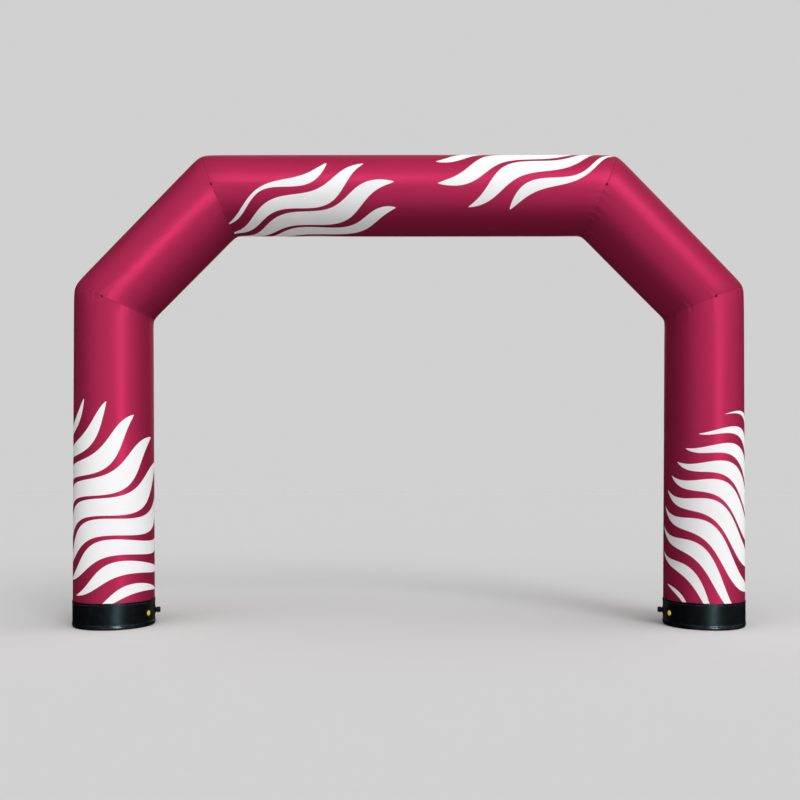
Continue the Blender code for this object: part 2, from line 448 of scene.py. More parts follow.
def placed(name: str, data: bpy.types.ID) -> bpy.types.Object:
    """Put a mesh, light or camera in the scene.

    Args:
        name: the object's name.
        data: what it shows.

    Returns:
        The new object.
    """
    thing = bpy.data.objects.new(name, data)
    bpy.context.scene.collection.objects.link(thing)
    return thing


def as_mesh(name: str, shape: bmesh.types.BMesh) -> bpy.types.Mesh:
    """End an edited shape in a mesh of its own.

    Args:
        name: the mesh's name.
        shape: the shape, which is freed.

    Returns:
        The new mesh.
    """
    mesh = bpy.data.meshes.new(name)
    shape.to_mesh(mesh)
    shape.free()
    return mesh


@contextmanager
def edited(mesh: bpy.types.Mesh) -> Iterator[bmesh.types.BMesh]:
    """Open a mesh for editing, and write it back at the end.

    Args:
        mesh: the mesh.

    Yields:
        Its shape.
    """
    shape = bmesh.new()
    shape.from_mesh(mesh)
    yield shape
    shape.to_mesh(mesh)
    shape.free()


def filleted(points: Profile, radius: float, pieces: int = 4) -> list[tuple[float, float]]:
    """Round the corners of an open profile.

    Args:
        points: the profile's corners.
        radius: how far each rounding reaches along its two straight parts at most, which is
            less than half of either.
        pieces: how many short parts a rounding has.

    Returns:
        The profile with its first and last points as they were.
    """
    most_share = 0.45
    rounded = [points[0]]
    for before, corner, after in zip(points, points[1:], points[2:]):
        here = Vector(corner)
        back = Vector(before) - here
        onward = Vector(after) - here
        reach = min(radius, most_share * back.length, most_share * onward.length)
        entry = here + back.normalized() * reach
        leave = here + onward.normalized() * reach
        for step in range(pieces + 1):
            share = step / pieces
            first = entry.lerp(here, share)
            second = here.lerp(leave, share)
            rounded.append(tuple(first.lerp(second, share)))
    rounded.append(points[-1])
    return rounded


def lofted(name: str, rings: Sequence[Sequence[Vector]], around: float) -> bpy.types.Mesh:
    """Skin a row of closed rings.

    A ring of one point closes the skin to a pole. The UV map holds metres, round the ring
    and along the loft.

    Args:
        name: the mesh's name.
        rings: the rings' points, all in step.
        around: length round the piece in metres, for the UV map.

    Returns:
        The mesh, its faces pointing outwards where it is closed.
    """
    shape = bmesh.new()
    layer = shape.loops.layers.uv.new(CLOTH_MAP)
    rows = [[shape.verts.new(point) for point in ring] for ring in rings]
    columns = max(len(ring) for ring in rings)
    along = 0.0
    for row, following in zip(rows, rows[1:]):
        ahead = along + (following[0].co - row[0].co).length
        for column in range(columns):
            onward = column + 1
            corners = [
                (row[column % len(row)], column, along),
                (row[onward % len(row)], onward, along),
                (following[onward % len(following)], onward, ahead),
                (following[column % len(following)], column, ahead),
            ]
            kept = [item for place, item in enumerate(corners) if item[0] != corners[place - 1][0]]
            face = shape.faces.new([vertex for vertex, _, _ in kept])
            face.smooth = True
            for loop, (_, turn, height) in zip(face.loops, kept):
                loop[layer].uv = (around * turn / columns, height)
        along = ahead
    bmesh.ops.recalc_face_normals(shape, faces=shape.faces)
    return as_mesh(name, shape)


def turned(name: str, profile: Profile, steps: int) -> bpy.types.Mesh:
    """Turn a profile of (radius, height) points round Z.

    Args:
        name: the mesh's name.
        profile: its points; a radius of 0 makes a pole.
        steps: how many columns go round.

    Returns:
        The mesh.
    """
    rings = []
    for radius, height in profile:
        count = steps if radius > 0.0 else 1
        turns = [math.tau * step / steps for step in range(count)]
        rings.append(
            [Vector((radius * math.cos(turn), radius * math.sin(turn), height)) for turn in turns]
        )
    widest = max(radius for radius, _ in profile)
    return lofted(name, rings, math.tau * widest)


@dataclass(frozen=True)
class TurnedForm:
    """A round form, drawn by half of its section."""

    outline: Profile  # (radius, height) corners, from the middle of its face to its back
    rounding: float
    pieces: int = 4  # short parts to a rounding

    def mesh(self, name: str, steps: int) -> bpy.types.Mesh:
        """Turn the form round Z, in as many columns as there are steps."""
        return turned(name, filleted(self.outline, self.rounding, self.pieces), steps)


def track(name: str, points: Sequence[tuple[Vector, Vector]], closed: bool) -> bpy.types.Mesh:
    """A line of edges that carries which way is out of the surface.

    Args:
        name: the mesh's name.
        points: places with their outward directions.
        closed: whether the line comes back to its start.

    Returns:
        The mesh for a stitch tree to follow.
    """
    mesh = bpy.data.meshes.new(name)
    count = len(points)
    edges = [(index, (index + 1) % count) for index in range(count if closed else count - 1)]
    mesh.from_pydata([place for place, _ in points], edges, [])
    layer = mesh.attributes.new(LIFT, "FLOAT_VECTOR", "POINT")
    for item, (_, lift) in zip(layer.data, points):
        item.vector = lift
    return mesh


def add_piece(
    name: str, mesh: bpy.types.Mesh, slot: Slot, stands_for: Sequence[str] = ()
) -> bpy.types.Object:
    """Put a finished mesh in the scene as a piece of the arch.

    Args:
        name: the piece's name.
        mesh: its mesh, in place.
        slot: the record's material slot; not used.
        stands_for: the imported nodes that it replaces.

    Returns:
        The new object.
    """
    thing = placed(name, mesh)
    thing[PIECE_MARK] = True
    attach(thing, BODY)
    if stands_for:
        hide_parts(*stands_for)
    LOG.info("%s: %d faces", name, len(mesh.polygons))
    return thing


def thicken(thing: bpy.types.Object, thickness: float) -> None:
    """Give a single skin its cloth thickness, inwards from its outer face.

    Args:
        thing: the piece with the skin.
        thickness: the cloth's, in metres.
    """
    wall = thing.modifiers.new("thickness", "SOLIDIFY")
    wall.thickness = thickness
    wall.offset = -1.0
    wall.use_even_offset = False


# ---------------- Finishes ----------------


@dataclass(frozen=True)
class Finish:
    """A procedural material. Its name finds it again, so it is written once."""

    name: str

    def material(self) -> bpy.types.Material:
        """Write the material on first use, and find it again later.

        Returns:
            The finished material.
        """
        found = bpy.data.materials.get(self.name)
        if found is not None:
            return found
        made = bpy.data.materials.new(self.name)
        made.use_nodes = True
        shader = made.node_tree.nodes["Principled BSDF"]
        self.paint(Graph(made.node_tree), shader)
        return made

    def paint(self, graph: Graph, shader: bpy.types.Node) -> None:
        """Write the nodes that feed the shader.

        Args:
            graph: the material's graph.
            shader: its shader.
        """
        raise NotImplementedError

    @staticmethod
    def settle(shader: bpy.types.Node, values: Mapping[str, object]) -> None:
        """Set what is the same all over on the shader's own sockets."""
        for label, value in values.items():
            shader.inputs[label].default_value = value

    @staticmethod
    def cloth_place(graph: Graph) -> Wire:
        """The piece's own map, in metres."""
        return graph.out("ShaderNodeUVMap", "UV", {"uv_map": CLOTH_MAP})

    @staticmethod
    def object_place(graph: Graph) -> Wire:
        """Object coordinates, in metres."""
        return graph.out("ShaderNodeTexCoord", "Object")

    @staticmethod
    def emboss(
        graph: Graph, shader: bpy.types.Node, height: Wire, depth: float, strength: float
    ) -> None:
        """Drive the shader's normal with a height.

        Args:
            graph: the material's graph.
            shader: its shader.
            height: relief from 0 to 1.
            depth: metres from 0 to 1.
            strength: share of the effect.
        """
        sockets = {"Height": height, "Distance": depth, "Strength": strength}
        bump = graph.out("ShaderNodeBump", "Normal", sockets=sockets)
        graph.feed(shader.inputs["Normal"], bump)

    @staticmethod
    def plain_weave(graph: Graph, u: Wire, v: Wire, pitch: float) -> Wire:
        """Relief of threads that pass over and under each other.

        Args:
            graph: the material's graph.
            u: metres across the threads.
            v: metres along them.
            pitch: distance between threads.

        Returns:
            The relief, from 0 to 1.
        """
        turn = math.pi / pitch
        across = graph.maths("SINE", u * turn)
        along = graph.maths("SINE", v * turn)
        return 0.5 + 0.5 * across * along

    @staticmethod
    def ridges(graph: Graph, phase: Wire) -> Wire:
        """Relief of even ridges, from 0 to 1, one for each full turn of the phase."""
        return 0.5 + 0.5 * graph.maths("SINE", phase)


@dataclass(frozen=True)
class WavePrint:
    """A patch of printed wave ribbons, full in its middle and drawn to points at its rim."""

    across: float  # its centre, metres round the tube from the front line
    along: float  # its centre, metres along the tube
    half_width: float
    half_length: float
    tilt: float  # degrees between the ribbons and the way round the tube
    pitch: float  # from one ribbon to the next
    wave_height: float
    wave_length: float
    fan: float  # how much the ribbons spread from one end to the other
    fullness: float = 0.86  # width of a ribbon in the middle, as a share of its lane
    point: float = 0.75  # how bluntly the ribbons end
    lag: float = 1.5  # how the waves drift from ribbon to ribbon
    edge: float = 0.012

    def ink(self, graph: Graph, u: Wire, v: Wire) -> Wire:
        """The share of ink.

        Args:
            graph: the material's graph.
            u: metres round the tube from the front line.
            v: metres along the tube.

        Returns:
            1 on a ribbon, 0 beside it.
        """
        cosine = math.cos(math.radians(self.tilt))
        sine = math.sin(math.radians(self.tilt))
        right = u - self.across
        ahead = v - self.along
        run = right * cosine + ahead * sine
        rise = ahead * cosine - right * sine
        run_share = run / self.half_width
        rise_share = rise / self.half_length
        room = graph.maths("MAXIMUM", 1 - run_share * run_share - rise_share * rise_share, 0.0)
        wave = graph.maths("SINE", run * (math.tau / self.wave_length) + rise * self.lag)
        lane = (rise + wave * self.wave_height) / (self.pitch * (1 + run_share * self.fan))
        off_middle = 2 * graph.maths("PINGPONG", lane, 0.5)
        fullness = self.fullness * room**self.point
        return graph.step(fullness - off_middle, 0.0, self.edge)


@dataclass(frozen=True)
class PrintedCloth(Finish):
    """Crimson satin polyester with a white print, and a fine plain weave."""

    prints: tuple[WavePrint, ...] = ()
    crimson: Colour = (0.39, 0.0215, 0.0765)
    white: Colour = (0.88, 0.88, 0.89)
    gleam: Colour = (0.45, 0.03, 0.10)  # of its highlights
    nap: Colour = (1.0, 0.45, 0.58)  # of its sheen
    thread_pitch: float = 0.0011
    slub_scales: tuple[float, float] = (18.0, 420.0)  # blobs to a metre, across and along
    batch_scale: float = 1.6  # of the dye's cloudiness
    tone: float = 0.90
    batch_tone: float = 0.12
    thread_tone: float = 0.05
    # painted shade: the cloth is darkened where it rolls into the seams
    seam_shade: float = 0.06
    metal: float = 0.45  # of the bare dye, which the ink hides
    roughness: float = 0.385
    rub_scale: float = 7.0
    rub_roughness: float = 0.06
    ink_roughness: float = 0.16
    weave_share: float = 0.8  # of the relief, the rest being slubs
    relief_depth: float = 0.00022
    relief_strength: float = 0.5

    def paint(self, graph: Graph, shader: bpy.types.Node) -> None:
        """Write the cloth's nodes.

        Args:
            graph: the material's graph.
            shader: its shader.
        """
        u, v, _ = graph.split(self.cloth_place(graph))
        ink: Value = 0.0
        for patch in self.prints:
            ink = graph.maths("MAXIMUM", ink, patch.ink(graph, u, v))
        weave = self.plain_weave(graph, u, v, self.thread_pitch)
        batch = graph.noise(self.object_place(graph), self.batch_scale, detail=3.0)
        across, along = self.slub_scales
        slubs = graph.noise(graph.join(u * across, v * along, 0.0), scale=1.0)
        light = self.tone + self.batch_tone * batch
        light = light + self.thread_tone * weave + self.thread_tone * slubs
        dyed = graph.scaled(graph.mix(ink, self.crimson, self.white), light)
        seam = graph.out("ShaderNodeAttribute", "Fac", {"attribute_name": SEAM_NEARNESS})
        # painted shade darkens the colour along the seams' rolled edges
        colour = graph.scaled(dyed, 1 - seam * self.seam_shade)
        graph.feed(shader.inputs["Base Color"], colour)
        graph.feed(shader.inputs["Metallic"], self.metal * (1 - ink))
        rubbed = graph.noise(self.object_place(graph), self.rub_scale, detail=4.0, seed=3.0)
        rough = self.roughness + self.rub_roughness * (rubbed - 0.5) + self.ink_roughness * ink
        graph.feed(shader.inputs["Roughness"], rough)
        self.settle(
            shader,
            {
                "Specular IOR Level": 0.04,
                "Specular Tint": (*self.gleam, 1.0),
                "Sheen Weight": 0.015,
                "Sheen Roughness": 0.45,
                "Sheen Tint": (*self.nap, 1.0),
            },
        )
        relief = self.weave_share * weave + (1.0 - self.weave_share) * slubs
        self.emboss(graph, shader, relief, self.relief_depth, self.relief_strength)


@dataclass(frozen=True)
class CoatedCloth(Finish):
    """Black coated cloth: a soft grain over a coarse woven base, dusty near the ground."""

    black: Colour = (0.0008, 0.0010, 0.0012)
    dust: Colour = (0.0085, 0.0090, 0.0090)
    gleam: Colour = (0.60, 0.91, 1.0)
    thread_pitch: float = 0.0026
    roughness: float = 0.335
    shine: float = 0.042
    grain_scale: float = 650.0
    grain_roughness: float = 0.10
    scuff_scale: float = 22.0
    scuff_roughness: float = 0.22
    dust_from: float = 0.46  # height of the scuffs at which they begin to hold dust
    dust_full: float = 0.72
    dust_share: float = 0.10  # all over
    ground_dust: float = 0.45  # added down at the ground
    dust_height: float = 0.05
    dust_roughness: float = 0.15
    weave_share: float = 0.55  # of the relief, the rest being grain
    relief_depth: float = 0.00035
    relief_strength: float = 0.55

    def paint(self, graph: Graph, shader: bpy.types.Node) -> None:
        """Write the coating's nodes.

        Args:
            graph: the material's graph.
            shader: its shader.
        """
        u, v, _ = graph.split(self.cloth_place(graph))
        place = self.object_place(graph)
        _, _, height = graph.split(place)
        weave = self.plain_weave(graph, u, v, self.thread_pitch)
        grain = graph.noise(place, self.grain_scale)
        scuffs = graph.noise(place, self.scuff_scale, detail=5.0, seed=2.0)
        low = 1 - graph.step(height, 0.0, self.dust_height)
        held = graph.step(scuffs, self.dust_from, self.dust_full)
        dusty = held * (self.dust_share + self.ground_dust * low)
        graph.feed(shader.inputs["Base Color"], graph.mix(dusty, self.black, self.dust))
        rough = self.roughness + self.scuff_roughness * (scuffs - 0.5)
        rough = rough + self.grain_roughness * (grain - 0.5) + self.dust_roughness * dusty
        graph.feed(shader.inputs["Roughness"], rough)
        gloss = {"Specular IOR Level": self.shine, "Specular Tint": (*self.gleam, 1.0)}
        self.settle(shader, gloss)
        relief = self.weave_share * weave + (1.0 - self.weave_share) * grain
        self.emboss(graph, shader, relief, self.relief_depth, self.relief_strength)


@dataclass(frozen=True)
class MouldedPlastic(Finish):
    """Moulded plastic with a fine spark-eroded grain and light handling marks."""

    colour: Colour = (0.0030, 0.0033, 0.0038)
    worn: Colour = (0.0080, 0.0085, 0.0090)
    roughness: float = 0.30
    coat: float = 0.0
    shine: float = 0.12
    grain_scale: float = 1400.0
    grain_roughness: float = 0.06
    mark_scale: float = 95.0
    mark_roughness: float = 0.20
    worn_from: float = 0.52  # height of the marks at which the plastic is worn
    worn_full: float = 0.78
    relief_depth: float = 0.00008
    relief_strength: float = 0.4

    def paint(self, graph: Graph, shader: bpy.types.Node) -> None:
        """Write the plastic's nodes.

        Args:
            graph: the material's graph.
            shader: its shader.
        """
        place = self.object_place(graph)
        grain = graph.noise(place, self.grain_scale, detail=1.0)
        marks = graph.noise(place, self.mark_scale, detail=5.0, seed=1.0)
        handled = graph.step(marks, self.worn_from, self.worn_full)
        graph.feed(shader.inputs["Base Color"], graph.mix(handled, self.colour, self.worn))
        rough = self.roughness + self.mark_roughness * (marks - 0.5)
        graph.feed(shader.inputs["Roughness"], rough + self.grain_roughness * (grain - 0.5))
        gloss = {"Specular IOR Level": self.shine, "Coat Weight": self.coat}
        self.settle(shader, {**gloss, "Coat Roughness": 0.12})
        self.emboss(graph, shader, grain, self.relief_depth, self.relief_strength)


@dataclass(frozen=True)
class Webbing(Finish):
    """Black woven tape with ribs across it and a hard edge cord."""

    colour: Colour = (0.0040, 0.0045, 0.0052)
    worn: Colour = (0.0150, 0.0160, 0.0175)
    rib_pitch: float = 0.0022
    rib_share: float = 0.55  # of the relief
    yarn_share: float = 0.30
    fuzz_share: float = 0.15
    fuzz_scale: float = 900.0
    wear: float = 0.5
    roughness: float = 0.70
    fuzz_roughness: float = 0.20
    relief_depth: float = 0.0006
    relief_strength: float = 0.8

    def paint(self, graph: Graph, shader: bpy.types.Node) -> None:
        """Write the tape's nodes.

        Args:
            graph: the material's graph.
            shader: its shader.
        """
        u, v, _ = graph.split(self.cloth_place(graph))
        turn = math.tau / self.rib_pitch
        rib = self.ridges(graph, v * turn)
        yarn = self.ridges(graph, u * turn + v * (0.5 * turn))
        fuzz = graph.noise(self.object_place(graph), self.fuzz_scale, detail=3.0)
        relief = self.rib_share * rib + self.yarn_share * yarn + self.fuzz_share * fuzz
        worn = graph.mix(relief * self.wear * fuzz, self.colour, self.worn)
        graph.feed(shader.inputs["Base Color"], worn)
        graph.feed(shader.inputs["Roughness"], self.roughness + self.fuzz_roughness * fuzz)
        self.settle(shader, {"Specular IOR Level": 0.15, "Sheen Weight": 0.04})
        self.emboss(graph, shader, relief, self.relief_depth, self.relief_strength)


@dataclass(frozen=True)
class SewingThread(Finish):
    """Bonded polyester thread with the twist showing, its ridges lightened by a painted highlight.
    """

    colour: Colour = (0.16, 0.010, 0.034)
    # painted highlight, mixed in along the ridges of the twist
    highlight: Colour = (0.30, 0.030, 0.075)
    twist_pitch: float = 0.0016
    dye_scale: float = 60.0
    roughness: float = 0.42
    dye_roughness: float = 0.15
    relief_depth: float = 0.0002
    relief_strength: float = 0.6

    def paint(self, graph: Graph, shader: bpy.types.Node) -> None:
        """Write the thread's nodes.

        Args:
            graph: the material's graph.
            shader: its shader.
        """
        place = self.object_place(graph)
        x, y, z = graph.split(place)
        twist = self.ridges(graph, (x + y + z) * (math.tau / self.twist_pitch))
        dye = graph.noise(place, self.dye_scale)
        # the dye's variation, and a painted highlight on the twist's ridges
        dyed = graph.mix(twist * dye, self.colour, self.highlight)
        graph.feed(shader.inputs["Base Color"], dyed)
        graph.feed(shader.inputs["Roughness"], self.roughness + self.dye_roughness * dye)
        self.settle(shader, {"Sheen Weight": 0.10})
        self.emboss(graph, shader, twist, self.relief_depth, self.relief_strength)


@dataclass(frozen=True)
class StudioFloor(Finish):
    """Matt pale floor."""

    colour: Colour = (0.82, 0.82, 0.82)
    bounce: Colour = (0.55, 0.55, 0.55)  # what the arch gets back from it
    cloud_scale: float = 0.8
    roughness: float = 0.85
    cloud_roughness: float = 0.1

    def paint(self, graph: Graph, shader: bpy.types.Node) -> None:
        """Write the floor's nodes.

        Args:
            graph: the material's graph.
            shader: its shader.
        """
        cloudy = graph.noise(self.object_place(graph), self.cloud_scale)
        graph.feed(shader.inputs["Roughness"], self.roughness + self.cloud_roughness * cloudy)
        seen = graph.out("ShaderNodeLightPath", "Is Camera Ray")
        graph.feed(shader.inputs["Base Color"], graph.mix(seen, self.bounce, self.colour))
        self.settle(shader, {"Specular IOR Level": 0.0})


BLACK_PLASTIC = MouldedPlastic("black_moulded_plastic")
YELLOW_PLASTIC = MouldedPlastic(
    "yellow_moulded_plastic",
    colour=(0.88, 0.62, 0.035),
    worn=(0.74, 0.50, 0.06),
    roughness=0.22,
    coat=0.6,
    shine=0.5,
)
WINE_PLASTIC = MouldedPlastic(
    "wine_moulded_plastic",
    colour=(0.15, 0.0065, 0.024),
    worn=(0.19, 0.010, 0.034),
    roughness=0.5,
    shine=0.06,
)
CUFF_CLOTH = CoatedCloth("black_coated_cloth")
CUFF_BINDING = CoatedCloth("black_coated_binding", thread_pitch=0.0018, shine=0.046)
CUFF_WELD = CoatedCloth("black_welded_rim", thread_pitch=0.0018, roughness=0.21, shine=0.22)
TAPE = Webbing("black_webbing")
COVER_THREAD = SewingThread("crimson_thread")
CUFF_THREAD = SewingThread(
    "black_thread",
    colour=(0.016, 0.017, 0.019),
    highlight=(0.07, 0.075, 0.08),
)

LEFT_LEG_WAVES = WavePrint(
    across=0.02,
    along=0.86,
    half_width=0.74,
    half_length=0.98,
    tilt=26.0,
    pitch=0.215,
    wave_height=0.075,
    wave_length=0.95,
    fan=0.30,
)
RIGHT_LEG_WAVES = WavePrint(
    across=-0.22,
    along=1.84,
    half_width=0.70,
    half_length=1.00,
    tilt=-30.0,
    pitch=0.205,
    wave_height=0.070,
    wave_length=0.85,
    fan=-0.30,
)
BEAM_LOW_WAVES = WavePrint(
    across=0.30,
    along=0.84,
    half_width=0.80,
    half_length=0.46,
    tilt=112.0,
    pitch=0.190,
    wave_height=0.060,
    wave_length=0.85,
    fan=0.30,
)
BEAM_HIGH_WAVES = WavePrint(
    across=-0.34,
    along=2.74,
    half_width=0.86,
    half_length=0.50,
    tilt=112.0,
    pitch=0.200,
    wave_height=0.060,
    wave_length=0.90,
    fan=-0.30,
)


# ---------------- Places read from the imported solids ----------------


def centre(node: str) -> tuple[float, ...]:
    """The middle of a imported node's box."""
    return tuple(0.5 * (low + high) for low, high in zip(*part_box(node)))


@dataclass(frozen=True)
class Corner:
    """A corner or end of the arch's axis."""

    place: Vector
    radius: float
    slope: float = 0.0  # of the mitre that cuts the tubes there, none at a foot
    seed: float = 0.0

    @property
    def sewn(self) -> bool:
        """Whether two tubes are sewn together here."""
        return self.slope > 0.0


@dataclass(frozen=True)
class ArchLayout:
    """Where the arch's parts lie."""

    leg_x: float
    upper_corner_x: float
    lower_corner_z: float
    beam_z: float
    hem_z: float
    foot_radius: float
    cuff_height: float
    bead_radius: float
    lower_radius: float = 0.340
    upper_radius: float = 0.348

    @classmethod
    def from_frame(cls) -> ArchLayout:
        """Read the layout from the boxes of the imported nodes.

        Returns:
            The layout.
        """
        cuff_low, cuff_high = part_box("base_cuff_right")
        leg_low, leg_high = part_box("leg_cover_right")
        return cls(
            leg_x=centre("base_cuff_right")[0],
            upper_corner_x=centre("tie_stud_upper_right")[0],
            lower_corner_z=centre("tie_stud_lower_right")[2],
            beam_z=centre("beam_cover")[2],
            hem_z=leg_low.z,
            foot_radius=0.5 * (leg_high.y - leg_low.y),
            cuff_height=cuff_high.z,
            bead_radius=0.5 * (cuff_high.y - cuff_low.y),
        )

    def corners(self) -> list[Corner]:
        """The axis from the left foot over the arch to the right foot.

        Returns:
            Its two ends and four corners in order.
        """
        width = self.leg_x - self.upper_corner_x
        height = self.beam_z - self.lower_corner_z
        lean = math.atan2(width, height)
        lower = (self.lower_radius, math.tan(0.5 * lean))
        upper = (self.upper_radius, math.tan(0.5 * (math.radians(90.0) - lean)))
        return [
            Corner(Vector((-self.leg_x, 0.0, self.hem_z)), self.foot_radius),
            Corner(Vector((-self.leg_x, 0.0, self.lower_corner_z)), *lower, seed=1.7),
            Corner(Vector((-self.upper_corner_x, 0.0, self.beam_z)), *upper, seed=3.1),
            Corner(Vector((self.upper_corner_x, 0.0, self.beam_z)), *upper, seed=5.3),
            Corner(Vector((self.leg_x, 0.0, self.lower_corner_z)), *lower, seed=7.9),
            Corner(Vector((self.leg_x, 0.0, self.hem_z)), self.foot_radius),
        ]

    def foot(self, side: Side) -> Vector:
        """The middle of a foot on the ground."""
        return Vector((side.value * self.leg_x, 0.0, 0.0))

    def fitting_angle(self, side: Side, node: str) -> float:
        """How far a fitting sits from straight towards the arch's middle.

        Args:
            side: which foot carries it.
            node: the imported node.

        Returns:
            The angle in radians, positive to the back.
        """
        reach = Vector(centre(node)) - self.foot(side)
        return math.atan2(reach.y, -side.value * reach.x)


# ---------------- Stitches ----------------


@dataclass
class StitchRows:
    """Rows of lockstitch: the thread that shows between two needle holes, again and again."""

    pitch: float = 0.0075
    length: float = 0.0056
    width: float = 0.0017
    height: float = 0.0012
    uneven: float = 0.10
    seed: int = 4
    tree: GeometryTree = field(init=False)

    def __post_init__(self) -> None:
        """Write the stitch tree once."""
        self.tree = GeometryTree("stitch_row", {**tree_kinds(self), "Thread": "Material"})
        self.write()

    def write(self) -> None:
        """Write the nodes: one stitch laid along the line at every pitch."""
        tree = self.tree
        graph = tree.graph
        sockets = {"Mesh": tree.given(GEOMETRY)}
        line = graph.out("GeometryNodeMeshToCurve", "Curve", sockets=sockets)
        sockets = {"Curve": line, "Length": tree.given("Pitch")}
        even = graph.out("GeometryNodeResampleCurve", "Curve", {"mode": "LENGTH"}, sockets)
        sockets = {"Segments": 5, "Rings": 4, "Radius": 0.5}
        ball = graph.out("GeometryNodeMeshUVSphere", "Mesh", sockets=sockets)
        size = graph.join(tree.given("Length"), tree.given("Width"), tree.given("Height"))
        stitch = tree.reshaped("Transform", ball, {"Scale": size})
        sockets = {"Points": even, "Instance": stitch}
        sockets.update({"Rotation": self.lie(), "Scale": self.growth()})
        laid = graph.out("GeometryNodeInstanceOnPoints", "Instances", sockets=sockets)
        tree.finish(tree.reshaped("SetShadeSmooth", laid), tree.given("Thread"))

    def lie(self) -> Wire:
        """How a stitch lies on the cloth and along the line.

        Returns:
            The rotation.
        """
        graph = self.tree.graph
        read = ("GeometryNodeInputNamedAttribute", "Attribute", {"data_type": "FLOAT_VECTOR"})
        outward = graph.out(*read, {"Name": LIFT})
        tangent = graph.out("GeometryNodeInputTangent", "Tangent")
        align = ("FunctionNodeAlignRotationToVector", "Rotation")
        upright = graph.out(*align, {"axis": "Z"}, {"Vector": outward})
        sockets = {"Rotation": upright, "Vector": tangent}
        return graph.out(*align, {"axis": "X", "pivot_axis": "Z"}, sockets)

    def growth(self) -> Wire:
        """How much larger or smaller than usual a stitch is.

        Returns:
            The random scale.
        """
        uneven = self.tree.given("Uneven")
        sockets = {"Min": 1 - uneven, "Max": 1 + uneven, "Seed": self.tree.given("Seed")}
        settings = {"data_type": "FLOAT"}
        return self.tree.graph.out("FunctionNodeRandomValue", "Value", settings, sockets)

    def sew(
        self, name: str, lines: Sequence[bpy.types.Mesh], thread: Finish
    ) -> bpy.types.Mesh:
        """Lay stitches along lines.

        Args:
            name: the name of the result.
            lines: tracks to follow.
            thread: the thread's finish.

        Returns:
            One mesh with every stitch.
        """
        values = {**tree_sizes(self), "Thread": thread.material()}
        shape = bmesh.new()
        for line in lines:
            row = self.tree.grow(name, values, line)
            shape.from_mesh(row)
            bpy.data.meshes.remove(row)
        mesh = as_mesh(name, shape)
        mesh.materials.append(thread.material())
        return mesh


# ---------------- Cloth tubes ----------------


@dataclass(frozen=True)
class SeamShape:
    """How the cloth behaves at a mitre seam."""

    gap: float = 0.00015  # from the cloth's edge to the seam's plane
    pinch: float = 0.0044  # draw-in all round
    pinch_reach: float = 0.07
    turn_reach: float = 0.022  # over which the cloth turns to meet the seam's plane squarely
    turn_ease: float = 2.2  # how much farther that reaches towards the front and the back
    roll_depth: float = 0.0004  # the turned edge that sinks into the seam
    roll_reach: float = 0.004
    pucker_height: float = 0.0036
    pucker_count: float = 34.0
    pucker_reach: float = 0.055
    slack: float = 0.0012  # soft unevenness of the whole skin

    def drawn(self, angle: float, slope: float) -> float:
        """How far the seam draws the cloth's edge in.

        Args:
            angle: round the tube, from the outer side of the bend.
            slope: of the mitre.

        Returns:
            Metres towards the tube's axis.
        """
        reach = self.turn_reach * (1.0 + self.turn_ease * math.sin(angle) ** 2)
        return self.pinch + self.roll_depth + reach * slope * math.cos(angle)


